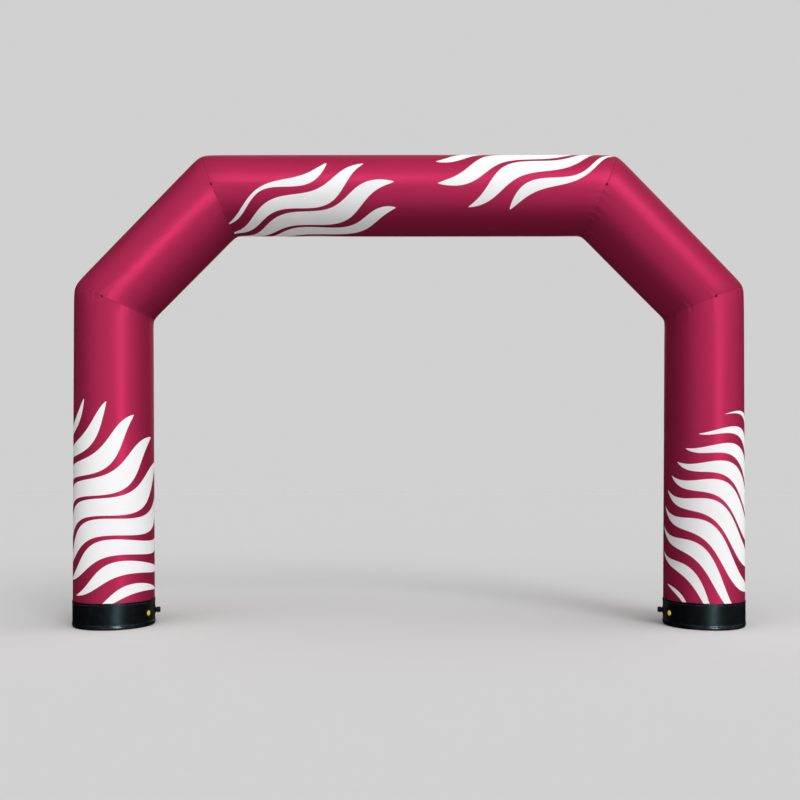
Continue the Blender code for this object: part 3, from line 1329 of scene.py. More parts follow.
class SkinTree:
    """The rule of a mitred tube's skin, as a geometry tree."""

    TUBE_SIZES = ("Length", "Swell")
    END_SIZES = ("radius", "mitre", "seed")
    GATHER = 0.93  # how closely the rows bunch towards the seams
    DRIFT_SCALE = 1.3  # of the skin's soft unevenness
    DRIFT_STRETCH = 0.8  # of its blobs along the tube
    SHIFT_SCALE = 2.2  # of what moves the puckers aside
    SHIFT = 14.0  # how far it moves them, in radians of their waves
    STRENGTH_SCALE = 3.1  # of what makes some puckers stronger
    STRENGTH_SEED = 20.0
    STRENGTH_RANGE = (0.35, 0.75)

    def __init__(self) -> None:
        """Write the tree."""
        floats = [*self.TUBE_SIZES, *tree_sizes(SeamShape())]
        floats += [f"{end} {size}" for end in ("Start", "End") for size in self.END_SIZES]
        kinds = {"Columns": "Int", "Rows": "Int", "Cloth": "Material"}
        kinds.update(dict.fromkeys(floats, "Float"))
        self.tree = GeometryTree("mitred_tube_skin", kinds)
        self.write()

    def write(self) -> None:
        """Write the nodes that bend a flat sheet of cloth into the tube."""
        tree = self.tree
        graph = tree.graph
        sockets = {
            "Size X": 1.0,
            "Size Y": 1.0,
            "Vertices X": tree.given("Columns"),
            "Vertices Y": tree.given("Rows"),
        }
        sheet = graph.node("GeometryNodeMeshGrid", sockets=sockets)
        turn, share, _ = graph.split(graph.wire(sheet, "UV Map"))
        angle = turn * math.tau + BACK_ANGLE
        place, cloth_map, nearness = self.rule(angle, share)
        bent = tree.reshaped("SetPosition", graph.wire(sheet, "Mesh"), {"Position": place})
        mapped = self.store(bent, CLOTH_MAP, cloth_map, "FLOAT2", "CORNER")
        marked = self.store(mapped, SEAM_NEARNESS, nearness, "FLOAT", "POINT")
        closed = tree.reshaped("MergeByDistance", marked, {"Distance": MERGE_DISTANCE})
        tree.finish(tree.reshaped("SetShadeSmooth", closed), tree.given("Cloth"))

    def store(self, geometry: Wire, name: str, value: Wire, kind: str, domain: str) -> Wire:
        """Keep a value on the mesh.

        Args:
            geometry: the mesh.
            name: the attribute's name.
            value: what is stored.
            kind: its data type.
            domain: what it belongs to.

        Returns:
            The mesh with the attribute.
        """
        sockets = {"Name": name, "Value": value}
        settings = {"data_type": kind, "domain": domain}
        return self.tree.reshaped("StoreNamedAttribute", geometry, sockets, settings)

    def rule(self, angle: Wire, share: Wire) -> tuple[Wire, Wire, Wire]:
        """Where a point of the sheet goes.

        Args:
            angle: round the axis, from the outer side of the arch.
            share: along the skin, from 0 to 1.

        Returns:
            The place, its cloth coordinates in metres, and how near a seam is.
        """
        graph = self.tree.graph
        give = self.tree.given
        cosine = graph.maths("COSINE", angle)
        sine = graph.maths("SINE", angle)
        start_slope = give("Start mitre") * cosine
        end_slope = give("End mitre") * cosine
        start_sewn = graph.maths("GREATER_THAN", give("Start mitre"), 0.0)
        end_sewn = graph.maths("GREATER_THAN", give("End mitre"), 0.0)
        draw = give("Pinch") + give("Roll depth")
        turn_reach = give("Turn reach") * (1 + give("Turn ease") * sine * sine)
        start_draw = draw + turn_reach * start_slope
        end_draw = draw + turn_reach * end_slope
        start_edge = (give("Start radius") - start_draw) * start_slope
        end_edge = (give("End radius") - end_draw) * end_slope
        first = give("Gap") * start_sewn - start_edge
        last = give("Length") + end_edge - give("Gap") * end_sewn
        bunching = graph.maths("SINE", share * math.tau) * (self.GATHER / math.tau)
        travelled = share - bunching
        along = first + (last - first) * travelled
        from_start = along - first
        from_end = last - along

        def fading(reach: Wire) -> tuple[Wire, ...]:
            """Nearness to the two seams, 1 at a seam and falling off over a reach."""
            ends = ((start_sewn, from_start), (end_sewn, from_end))
            return tuple(sewn * graph.maths("EXPONENT", -(run / reach)) for sewn, run in ends)

        start_pinch, end_pinch = fading(give("Pinch reach"))
        start_turn, end_turn = fading(turn_reach)
        start_roll, end_roll = fading(give("Roll reach"))
        start_pucker, end_pucker = fading(give("Pucker reach"))
        taper = give("End radius") - give("Start radius")
        radius = give("Start radius") + taper * travelled
        radius = radius + give("Swell") * graph.maths("SINE", travelled * math.pi)
        radius = radius - give("Pinch") * (start_pinch + end_pinch)
        radius = radius - turn_reach * (start_slope * start_turn + end_slope * end_turn)
        nearness = start_roll + end_roll
        radius = radius - give("Roll depth") * nearness
        waves = start_pucker * self.ripple(angle, cosine, sine, "Start seed")
        waves = waves + end_pucker * self.ripple(angle, cosine, sine, "End seed")
        radius = radius + give("Pucker height") * waves
        calm = (1 - start_pinch) * (1 - end_pinch)
        spot = graph.join(cosine, sine, along * self.DRIFT_STRETCH)
        drift = graph.noise(spot, self.DRIFT_SCALE, seed=give("Start seed"))
        radius = radius + give("Slack") * 2 * calm * (drift - 0.5)
        place = graph.join(radius * cosine, radius * sine, along)
        middle = 0.5 * (give("Start radius") + give("End radius"))
        cloth_map = graph.join((angle - FRONT_ANGLE) * middle, along, 0.0)
        return place, cloth_map, nearness

    def ripple(self, angle: Wire, cosine: Wire, sine: Wire, seed: str) -> Wire:
        """Uneven puckers round one seam.

        Args:
            angle: round the axis.
            cosine: of the angle.
            sine: of the angle.
            seed: the input that names the seam.

        Returns:
            The puckers' height, from -1 to 1.
        """
        graph = self.tree.graph
        give = self.tree.given
        ring = graph.join(cosine, sine, 0.0)
        shift = graph.noise(ring, self.SHIFT_SCALE, seed=give(seed)) * self.SHIFT
        strength = graph.noise(ring, self.STRENGTH_SCALE, seed=give(seed) + self.STRENGTH_SEED)
        crest = graph.maths("SINE", angle * give("Pucker count") + shift)
        return crest * graph.step(strength, *self.STRENGTH_RANGE)


@dataclass
class TubeCover:
    """One cloth tube of the arch."""

    name: str
    start: Corner
    end: Corner
    columns: int
    rows: int
    cloth: PrintedCloth
    swell: float = 0.0
    thickness: float = 0.002
    seam: SeamShape = field(default_factory=SeamShape)
    skin: BVHTree | None = field(default=None, init=False)  # the outer face, once it is built

    BACK_MARGIN = 0.012  # from the mitre seams to the back seam's stitches
    BACK_ASIDE = 0.006  # from the back seam to its stitches
    SEAM_ASIDE = 0.0085  # from the mitre seams to their stitches

    @property
    def length(self) -> float:
        """Length of the tube's axis."""
        return (self.end.place - self.start.place).length

    @property
    def run(self) -> Vector:
        """The direction of the tube's axis."""
        return (self.end.place - self.start.place).normalized()

    @property
    def outward(self) -> Vector:
        """The direction to the outer side of the arch."""
        return Vector((-self.run.z, 0.0, self.run.x))

    @property
    def place(self) -> Matrix:
        """The frame with X to the outer side of the arch and Z along the tube."""
        axes = (self.outward, self.run.cross(self.outward), self.run)
        return Matrix.Translation(self.start.place) @ Matrix(axes).transposed().to_4x4()

    def edge(self, at_end: bool, angle: float) -> float:
        """Where the cloth's edge lies along the axis.

        Args:
            at_end: whether the far edge is meant.
            angle: round the tube, from the outer side of the arch.

        Returns:
            Metres from the start of the axis.
        """
        corner = self.end if at_end else self.start
        gap = self.seam.gap if corner.sewn else 0.0
        slope = corner.slope
        reach = (corner.radius - self.seam.drawn(angle, slope)) * slope * math.cos(angle)
        return self.length + reach - gap if at_end else gap - reach

    def build(self, skin: SkinTree) -> None:
        """Grow the skin, put it in its place and give the cloth its thickness.

        Args:
            skin: the tree that holds the rule.
        """
        values = {"Columns": self.columns + 1, "Rows": self.rows, "Cloth": self.cloth.material()}
        values.update({"Length": self.length, "Swell": self.swell, **tree_sizes(self.seam)})
        for end, corner in (("Start", self.start), ("End", self.end)):
            corner_sizes = (corner.radius, corner.slope, corner.seed)
            for size, value in zip(skin.END_SIZES, corner_sizes):
                values[f"{end} {size}"] = value
        mesh = skin.tree.grow(self.name, values)
        self.face_outwards(mesh)
        self.skin = BVHTree.FromPolygons(
            [vertex.co.copy() for vertex in mesh.vertices],
            [tuple(polygon.vertices) for polygon in mesh.polygons],
        )
        mesh.transform(self.place)
        thing = add_piece(self.name + "_skin", mesh, Slot.COVER, (self.name,))
        thicken(thing, self.thickness)
        self.declare()

    @staticmethod
    def face_outwards(mesh: bpy.types.Mesh) -> None:
        """Turn the faces so that they all point away from the tube's axis.

        Args:
            mesh: the skin, whose faces agree with each other.
        """
        with edited(mesh) as shape:
            shape.faces.ensure_lookup_table()
            face = shape.faces[len(shape.faces) // 2]
            middle = face.calc_center_median()
            if face.normal.dot(Vector((middle.x, middle.y, 0.0))) < 0.0:
                bmesh.ops.reverse_faces(shape, faces=shape.faces)

    def declare(self) -> None:
        """Work out the area of cloth that the tube is cut from; the result is not kept or used.
        """
        radius = max(self.start.radius, self.end.radius) + self.swell
        around = math.tau * radius
        longest = self.edge(True, 0.0) - self.edge(False, 0.0)
        shortest = self.edge(True, math.pi) - self.edge(False, math.pi)
        area = around * 0.5 * (longest + shortest)

    def on_skin(self, angle: float, along: float) -> tuple[Vector, Vector]:
        """A point on the outer face of the cloth.

        Args:
            angle: round the tube, from the outer side of the arch.
            along: metres from the start of the axis.

        Returns:
            The place and the outward direction, in the arch's frame.
        """
        spoke = Vector((math.cos(angle), math.sin(angle), 0.0))
        hit, _, _, _ = self.skin.ray_cast(Vector((0.0, 0.0, along)), spoke)
        if hit is None:
            raise ValueError(f"{self.name} has no cloth at {angle:.2f} rad, {along:.3f} m")
        return self.place @ hit, self.place.to_3x3() @ spoke

    def seam_track(self, at_end: bool, distance: float, steps: int = 220) -> bpy.types.Mesh:
        """A line on the cloth that follows a mitre seam.

        Args:
            at_end: whether it follows the far seam.
            distance: metres from the seam.
            steps: points round the tube.

        Returns:
            The closed line.
        """
        points = []
        inward = -distance if at_end else distance
        for step in range(steps):
            angle = math.tau * step / steps
            points.append(self.on_skin(angle, self.edge(at_end, angle) + inward))
        return track(self.name + "_seam_track", points, True)

    def back_track(self, aside: float, steps: int = 60) -> bpy.types.Mesh:
        """A line on the cloth along the closing seam at the back.

        Args:
            aside: metres to one side of the seam.
            steps: points along the tube.

        Returns:
            The open line.
        """
        angle = BACK_ANGLE + aside / self.start.radius
        first = self.edge(False, angle) + self.BACK_MARGIN
        last = self.edge(True, angle) - self.BACK_MARGIN
        points = [
            self.on_skin(angle, first + (last - first) * step / steps)
            for step in range(steps + 1)
        ]
        return track(self.name + "_back_track", points, False)

    def sew(self, stitches: StitchRows) -> None:
        """Lay the stitches beside the mitre seams and along the closing seam at the back.

        Args:
            stitches: what lays a row.
        """
        lines = [self.back_track(-self.BACK_ASIDE), self.back_track(self.BACK_ASIDE)]
        for at_end, corner in ((False, self.start), (True, self.end)):
            if corner.sewn:
                lines.append(self.seam_track(at_end, self.SEAM_ASIDE))
        mesh = stitches.sew(self.name + "_stitches", lines, COVER_THREAD)
        add_piece(self.name + "_stitches", mesh, Slot.COVER)


# ---------------- Feet ----------------


@dataclass
class BaseCuff:
    """The coated cup round one foot: wall, folded top edge, welded rim and ground sheet."""

    layout: ArchLayout
    side: Side
    steps: int = 192
    wall_rows: int = 12
    turn_rows: int = 10
    wall_thickness: float = 0.003
    skin_share: float = 0.8  # of that thickness, which the wall's own piece has
    slip: float = 0.0002  # between the wall and what is sewn or welded on it
    bead_proud: float = 0.004
    bead_height: float = 0.037
    weld_rise: float = 0.007  # of the bead's top edge over its widest place
    weld_lip: float = 0.0008  # width of that edge
    weld_rounding: float = 0.0035
    weld_pieces: int = 5
    below_bead: float = 0.0016  # how far the rim draws in under the bead
    weld_foot: float = 0.020  # height at which the weld meets the wall again
    turn_radius: float = 0.022  # of the turn from the rim into the ground sheet
    hem_height: float = 0.024
    hem_proud: float = 0.0014
    hem_lap: float = 0.0006  # thickness of the binding inside the wall
    hem_fold: float = 0.0012  # and over its top
    hem_cover: float = 0.002  # how far the wall ends under the binding's top
    row_height: float = 0.005  # of the stitches over the binding's lower edge
    ripple: float = 0.0009

    # The bead's section from its widest place down, as steps (inwards, down) from there
    BEAD_STEPS = ((0.0, 0.0), (0.0006, 0.006), (0.0022, 0.010))

    @property
    def wall_radius(self) -> float:
        """Radius of the wall's outer face."""
        return self.layout.bead_radius - self.bead_proud

    def build(self, stitches: StitchRows) -> None:
        """Build the cuff's pieces.

        Args:
            stitches: what lays the row along the folded edge.
        """
        word = self.side.word
        node = "base_cuff_" + word
        wall = self.band(node + "_wall", self.wall_profile(), CUFF_CLOTH, (node,))
        top_edge = self.band(node + "_hem", self.hem_profile(), CUFF_BINDING)
        rim = self.band(node + "_rim", self.rim_profile(), CUFF_WELD)
        ground = self.band(node + "_ground_sheet", self.ground_profile(), CUFF_CLOTH)
        around = math.tau * self.wall_radius
        2.0 * self.hem_height
        width = 2.0 * self.wall_radius
        area = 0.25 * math.pi * width * width
        mesh = stitches.sew(node + "_stitches", [self.hem_row()], CUFF_THREAD)
        add_piece(node + "_stitches", mesh, Slot.CUFF)

    def band(
        self, name: str, profile: Profile, finish: Finish, stands_for: Sequence[str] = ()
    ) -> bpy.types.Object:
        """Loft a closed profile round the foot.

        Args:
            name: the piece's name.
            profile: points of (radius, height), the last joining the first.
            finish: its material.
            stands_for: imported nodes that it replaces.

        Returns:
            The piece.
        """
        rings = []
        open_ended = profile[0][0] == 0.0
        for radius, height in profile if open_ended else [*profile, profile[0]]:
            count = self.steps if radius > 0.0 else 1
            ring = []
            for step in range(count):
                turn = math.tau * step / self.steps
                reach = radius + self.wave(turn, height) * min(1.0, radius / self.wall_radius)
                ring.append(Vector((reach * math.cos(turn), reach * math.sin(turn), height)))
            rings.append(ring)
        mesh = lofted(name, rings, math.tau * self.wall_radius)
        self.close(mesh)
        mesh.transform(Matrix.Translation(self.layout.foot(self.side)))
        mesh.materials.append(finish.material())
        return add_piece(name, mesh, Slot.CUFF, stands_for)

    @staticmethod
    def close(mesh: bpy.types.Mesh) -> None:
        """Merge the doubled last ring and point the faces outwards.

        Args:
            mesh: the lofted mesh.
        """
        with edited(mesh) as shape:
            bmesh.ops.remove_doubles(shape, verts=shape.verts, dist=MERGE_DISTANCE)
            bmesh.ops.recalc_face_normals(shape, faces=shape.faces)

    def wave(self, turn: float, height: float) -> float:
        """Slight unevenness of the coated wall, fading towards the ground.

        Args:
            turn: round the cuff.
            height: above the ground.

        Returns:
            Metres outwards: three swings that differ from side to side.
        """
        own = self.side.value
        broad = math.sin(5.0 * turn + own)
        slanted = 0.6 * math.sin(11.0 * turn + 40.0 * height)
        fine = 0.4 * math.sin(23.0 * turn - 70.0 * height * own)
        fading = min(1.0, height / self.layout.cuff_height)
        return 0.5 * self.ripple * (broad + slanted + fine) * fading

    def wall_profile(self) -> list[tuple[float, float]]:
        """The wall between the rim and the folded edge.

        Returns:
            Its (radius, height) points, as for the profiles below.
        """
        outer = self.wall_radius
        inner = outer - self.skin_share * self.wall_thickness
        low = self.turn_radius
        rise = self.layout.cuff_height - self.hem_cover - low
        heights = [low + rise * step / self.wall_rows for step in range(self.wall_rows + 1)]
        return [(outer, z) for z in heights] + [(inner, z) for z in reversed(heights)]

    def hem_profile(self) -> list[tuple[float, float]]:
        """The binding folded over the wall's top.

        Returns:
            Its points.
        """
        outer = self.wall_radius + self.hem_proud
        beside = self.wall_radius + self.slip
        inner = self.wall_radius - self.wall_thickness
        top = self.layout.cuff_height
        low = top - self.hem_height
        middle = top - 0.5 * self.hem_height
        outline = [
            (beside, low),
            (outer, low),
            (outer, middle),
            (outer, top),
            (inner, top),
            (inner, middle),
            (inner + self.hem_lap, middle),
            (inner + self.hem_lap, top - self.hem_fold),
            (beside, top - self.hem_fold),
        ]
        return filleted([outline[-1], *outline, outline[0]], self.hem_proud)[1:-1]

    def rim_profile(self) -> list[tuple[float, float]]:
        """The welded rim: a bead round the wall that turns in under the foot.

        Returns:
            Its points.
        """
        outer = self.layout.bead_radius
        inner = self.wall_radius + self.slip
        centre = outer - self.turn_radius
        top = self.bead_height + self.weld_rise
        steps = [(outer - inwards, self.bead_height - down) for inwards, down in self.BEAD_STEPS]
        lip = [(inner, top), (inner + self.weld_lip, top)]
        bead = [*lip, *steps, (outer - self.below_bead, self.turn_radius)]
        turns = [0.5 * math.pi * (row + 1) / self.turn_rows for row in range(self.turn_rows)]
        reach = self.turn_radius - self.below_bead
        under = [
            (centre + reach * math.cos(turn), self.turn_radius * (1.0 - math.sin(turn)))
            for turn in turns
        ]
        inside = [(centre, self.wall_thickness), (inner, self.weld_foot)]
        rounded = filleted([bead[0], *bead], self.weld_rounding, self.weld_pieces)
        return [*rounded[1:], *under, *inside]

    def ground_profile(self) -> list[tuple[float, float]]:
        """The flat sheet under the foot.

        Returns:
            Its points, from pole to pole.
        """
        outer = self.layout.bead_radius - self.turn_radius
        top = self.wall_thickness
        return [(0.0, top), (0.5 * outer, top), (outer, top), (outer, 0.0), (0.0, 0.0)]

    def hem_row(self) -> bpy.types.Mesh:
        """The line of stitches along the folded edge.

        Returns:
            The closed line.
        """
        height = self.layout.cuff_height - self.hem_height + self.row_height
        points = []
        for step in range(self.steps):
            turn = math.tau * step / self.steps
            spoke = Vector((math.cos(turn), math.sin(turn), 0.0))
            reach = self.wall_radius + self.hem_proud + self.wave(turn, height)
            place = self.layout.foot(self.side) + spoke * reach + UP * height
            points.append((place, spoke))
        return track("hem_track", points, True)


@dataclass
class FootFittings:
    """What is set in one cuff's inner side: valve and cap, relief plug, and pull tab."""

    layout: ArchLayout
    side: Side
    cuff: BaseCuff
    steps: int = 72
    wall_gap: float = 0.0003  # from the cuff's wall to a fitting that is set on it
    cap_lift: float = 0.0136
    plug_lift: float = 0.0046
    tape_half: float = 0.0013  # half of the webbing's thickness
    tape_width: float = 0.030
    tape_columns: int = 8
    tape_rows: tuple[float, float] = (-0.007, -0.020)  # heights of its stitches, from the top
    tape_row_half: float = 0.42  # half of such a row's length, as a share of the width

    NECK = TurnedForm(
        (
            (0.0, 0.0128),
            (0.0200, 0.0128),
            (0.0210, 0.0118),
            (0.0205, 0.0095),
            (0.0212, 0.0070),
            (0.0245, 0.0046),
            (0.0310, 0.0042),
            (0.0340, 0.0030),
            (0.0344, 0.0),
            (0.0, 0.0),
        ),
        rounding=0.0012,
        pieces=3,
    )
    CROWN = TurnedForm(
        (
            (0.0, 0.0295),
            (0.0105, 0.0295),
            (0.0130, 0.0315),
            (0.0195, 0.0328),
            (0.0230, 0.0312),
            (0.0233, 0.0020),
            (0.0225, 0.0),
            (0.0, 0.0),
        ),
        rounding=0.002,
    )
    SEAT = TurnedForm(
        (
            (0.0, 0.0038),
            (0.0265, 0.0038),
            (0.0285, 0.0040),
            (0.0325, 0.0036),
            (0.0340, 0.0020),
            (0.0344, 0.0),
            (0.0, 0.0),
        ),
        rounding=0.001,
        pieces=3,
    )
    PLUG = TurnedForm(
        (
            (0.0, 0.0056),
            (0.0040, 0.0058),
            (0.0068, 0.0070),
            (0.0117, 0.0069),
            (0.0176, 0.0054),
            (0.0212, 0.0036),
            (0.0224, 0.0022),
            (0.0225, 0.0),
            (0.0, 0.0),
        ),
        rounding=0.0016,
    )
    # The tape's bends: (reach from the sewn part, height above the cuff's top)
    TAPE_BENDS = ((0.0, -0.0245), (-0.0004, 0.0130), (0.0215, 0.0142), (0.0212, -0.0115))
    TAPE_ROUNDING = 0.0105
    TAPE_PIECES = 10

    def frame(self, node: str, lift: float = 0.0) -> Matrix:
        """A fitting's frame, with Z out of the cuff's wall and Y up.

        Args:
            node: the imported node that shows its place.
            lift: metres from the wall.

        Returns:
            The frame.
        """
        angle = self.layout.fitting_angle(self.side, node)
        outward = Vector((-self.side.value * math.cos(angle), math.sin(angle), 0.0))
        across = UP.cross(outward)
        turn = Matrix((across, UP, outward)).transposed().to_4x4()
        height = centre(node)[2]
        wave = self.cuff.wave(math.atan2(outward.y, outward.x), height)
        middle = self.layout.foot(self.side) + outward * (self.cuff.wall_radius + wave + lift)
        middle.z = height
        return Matrix.Translation(middle) @ turn

    def turned_piece(
        self, name: str, form: TurnedForm, finish: Finish, slot: Slot, place: Matrix
    ) -> None:
        """Turn a form and put it on the wall.

        Args:
            name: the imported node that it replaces.
            form: its shape.
            finish: its material.
            slot: the record's slot.
            place: its frame.
        """
        mesh = form.mesh(name, self.steps)
        mesh.transform(place)
        mesh.materials.append(finish.material())
        add_piece(name + "_fine", mesh, slot, (name,))

    def build(self, grips: GripRibs, stitches: StitchRows) -> None:
        """Build every fitting of this foot.

        Args:
            grips: what sets ribs round a cap.
            stitches: what lays a row of stitches.
        """
        self.build_valve(grips)
        self.build_relief()
        self.build_tab(stitches)

    def build_valve(self, grips: GripRibs) -> None:
        """The inflation valve and its ribbed cap.

        Args:
            grips: what sets ribs round the cap.
        """
        valve = "inflation_valve_" + self.side.word
        place = self.frame(valve, self.wall_gap)
        self.turned_piece(valve, self.NECK, BLACK_PLASTIC, Slot.FITTING, place)
        cap = "inflation_cap_" + self.side.word
        mesh = grips.set_round(cap, self.CROWN.mesh(cap, self.steps), BLACK_PLASTIC)
        mesh.transform(self.frame(cap, self.cap_lift))
        add_piece(cap + "_fine", mesh, Slot.FITTING, (cap,))

    def build_relief(self) -> None:
        """The seat of the relief valve and its domed plug."""
        seat = "relief_seat_" + self.side.word
        place = self.frame(seat, self.wall_gap)
        self.turned_piece(seat, self.SEAT, BLACK_PLASTIC, Slot.FITTING, place)
        plug = "relief_plug_" + self.side.word
        place = self.frame(plug, self.plug_lift)
        self.turned_piece(plug, self.PLUG, YELLOW_PLASTIC, Slot.PLUG, place)

    def build_tab(self, stitches: StitchRows) -> None:
        """The webbing tab that rises over the cuff's top edge and hangs outside it.

        Args:
            stitches: what lays its rows of stitches.
        """
        node = "pull_tab_" + self.side.word
        place = self.frame(node, self.cuff.hem_proud + self.tape_half)
        place.translation.z = self.layout.cuff_height
        mesh = self.tape(node)
        mesh.transform(place)
        mesh.materials.append(TAPE.material())
        tab = add_piece(node + "_tape", mesh, Slot.WEBBING, (node,))
        self.tape_run()
        lines = []
        outward = place.to_3x3() @ UP
        reach = self.tape_row_half * self.tape_width
        for height in self.tape_rows:
            ends = [Vector((across, height, self.tape_half)) for across in (-reach, reach)]
            lines.append(track(node, [(place @ end, outward) for end in ends], False))
        add_piece(node + "_stitches", stitches.sew(node, lines, CUFF_THREAD), Slot.WEBBING)

    def tape_line(self) -> list[Vector]:
        """The tape's middle line: up the cuff's face, over a bend and down outside."""
        line = filleted(self.TAPE_BENDS, self.TAPE_ROUNDING, self.TAPE_PIECES)
        return [Vector(point) for point in line]

    def tape_run(self) -> float:
        """Length of the tape."""
        line = self.tape_line()
        return sum((after - before).length for before, after in zip(line, line[1:]))

    def tape(self, name: str) -> bpy.types.Mesh:
        """The bent tape.

        Args:
            name: the mesh's name.

        Returns:
            The closed mesh, in the fitting's frame.
        """
        line = self.tape_line()
        outer = []
        inner = []
        for index, point in enumerate(line):
            ahead = line[min(index + 1, len(line) - 1)] - line[max(index - 1, 0)]
            aside = Vector((-ahead.y, ahead.x)).normalized() * self.tape_half
            outer.append(point + aside)
            inner.append(point - aside)
        outline = outer + inner[::-1]
        count = self.tape_columns
        across = [self.tape_width * (column / count - 0.5) for column in range(count + 1)]
        rows = [
            [Vector((place, point.y, point.x)) for place in across]
            for point in [*outline, outline[0]]
        ]
        return self.ribbon(name, rows)

    @staticmethod
    def ribbon(name: str, rows: Sequence[Sequence[Vector]]) -> bpy.types.Mesh:
        """Skin rows that run round a closed outline, and close the two sides.

        Args:
            name: the mesh's name.
            rows: points across the ribbon, the last row repeating the first.

        Returns:
            The closed mesh, with a UV map in metres.
        """
        shape = bmesh.new()
        layer = shape.loops.layers.uv.new(CLOTH_MAP)
        made = [[shape.verts.new(point) for point in row] for row in rows[:-1]]
        made.append(made[0])
        run = 0.0
        for index, (row, following) in enumerate(zip(made, made[1:])):
            ahead = run + (rows[index + 1][0] - rows[index][0]).length
            for column in range(len(row) - 1):
                corners = (
                    (row[column], run),
                    (row[column + 1], run),
                    (following[column + 1], ahead),
                    (following[column], ahead),
                )
                face = shape.faces.new([vertex for vertex, _ in corners])
                face.smooth = True
                for loop, (vertex, height) in zip(face.loops, corners):
                    loop[layer].uv = (vertex.co.x, height)
            run = ahead
        for column in (0, -1):
            shape.faces.new([row[column] for row in made[:-1]])
        bmesh.ops.recalc_face_normals(shape, faces=shape.faces)
        return as_mesh(name, shape)


@dataclass
class GripRibs:
    """Ribs that stand in a ring round a cap."""

    count: int = 12
    facets: int = 10
    ring_radius: float = 0.0229  # of the ring on which the ribs' middles lie
    rib_radius: float = 0.0026  # at a rib's foot
    rib_length: float = 0.0275
    tree: GeometryTree = field(init=False)

    TAPER = 0.72  # a rib's radius at its top, as a share of that at its foot

    def __post_init__(self) -> None:
        """Write the tree once."""
        self.tree = GeometryTree("grip_ribs", {**tree_kinds(self), "Plastic": "Material"})
        self.write()

    def write(self) -> None:
        """Write the nodes: a rib on every point of a ring, joined to what comes in."""
        tree = self.tree
        graph = tree.graph
        sockets = {"Vertices": tree.given("Count"), "Radius": tree.given("Ring radius")}
        ring = graph.out("GeometryNodeMeshCircle", "Mesh", sockets=sockets)
        sockets = {
            "Vertices": tree.given("Facets"),
            "Radius Top": tree.given("Rib radius") * self.TAPER,
            "Radius Bottom": tree.given("Rib radius"),
            "Depth": tree.given("Rib length"),
        }
        rib = graph.out("GeometryNodeMeshCone", "Mesh", sockets=sockets)
        sockets = {"Points": ring, "Instance": rib}
        ribs = graph.out("GeometryNodeInstanceOnPoints", "Instances", sockets=sockets)
        both = graph.node("GeometryNodeJoinGeometry")
        for piece in (tree.given(GEOMETRY), ribs):
            graph.feed(both.inputs[0], piece)
        tree.finish(graph.wire(both, GEOMETRY), tree.given("Plastic"))

    def set_round(self, name: str, body: bpy.types.Mesh, finish: Finish) -> bpy.types.Mesh:
        """Set ribs round a body that stands on Z = 0, as one mesh with it."""
        values = {**tree_sizes(self), "Plastic": finish.material()}
        return self.tree.grow(name, values, body)


@dataclass
class TieStuds:
    """The small domed studs at the front of the mitre seams."""

    steps: int = 40

    DOME = TurnedForm(
        (
            (0.0, 0.0056),
            (0.0030, 0.0054),
            (0.0055, 0.0046),
            (0.0068, 0.0030),
            (0.0082, 0.0026),
            (0.0100, 0.0018),
            (0.0101, 0.0),
            (0.0, 0.0),
        ),
        rounding=0.0008,
        pieces=3,
    )

    def build(self) -> None:
        """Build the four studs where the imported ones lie."""
        for side in Side:
            for level in ("lower", "upper"):
                self.build_stud(f"tie_stud_{level}_{side.word}")

    def build_stud(self, node: str) -> None:
        """Build one stud.

        Args:
            node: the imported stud.
        """
        mesh = self.DOME.mesh(node, self.steps)
        foot = Vector(centre(node))
        foot.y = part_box(node)[1].y
        mesh.transform(Matrix.Translation(foot) @ Matrix.Rotation(math.radians(90.0), 4, "X"))
        mesh.materials.append(WINE_PLASTIC.material())
        add_piece(node + "_fine", mesh, Slot.STUD, (node,))


# ---------------- Studio ----------------


def heading(azimuth: float, elevation: float) -> Vector:
    """A direction seen from the arch.

    Args:
        azimuth: degrees from the front towards the right.
        elevation: degrees above the ground.

    Returns:
        The unit vector.
    """
    turn = math.radians(azimuth)
    rise = math.radians(elevation)
    level = Vector((math.sin(turn), -math.cos(turn), 0.0)) * math.cos(rise)
    return level + UP * math.sin(rise)


@dataclass(frozen=True)
class SoftSun:
    """A distant soft light, for everything or for some pieces alone."""

    name: str
    towards: Vector
    strength: float
    spread: float  # degrees across
    receivers: tuple[bpy.types.Object, ...] = ()
    steady: bool = False  # its highlights don't change with the number of other lights

    def hang(self) -> None:
        """Put the light in the scene."""
        lamp = bpy.data.lights.new(self.name, "SUN")
        lamp.energy = self.strength
        lamp.angle = math.radians(self.spread)
        lamp.cycles.use_multiple_importance_sampling = not self.steady
        thing = placed(self.name, lamp)
        thing.rotation_euler = self.towards.to_track_quat("Z", "Y").to_euler()
        if self.receivers:
            group = bpy.data.collections.new(self.name + "_receivers")
            for receiver in self.receivers:
                group.objects.link(receiver)
            thing.light_linking.receiver_collection = group


@dataclass(frozen=True)
class Highlight:
    """How the highlight of one light lies along a tube."""

    lean: float  # degrees from the side that faces the camera towards the tube's outer side
    strength: float
    slant: float = 0.0  # degrees by which the light stands towards the tube's start


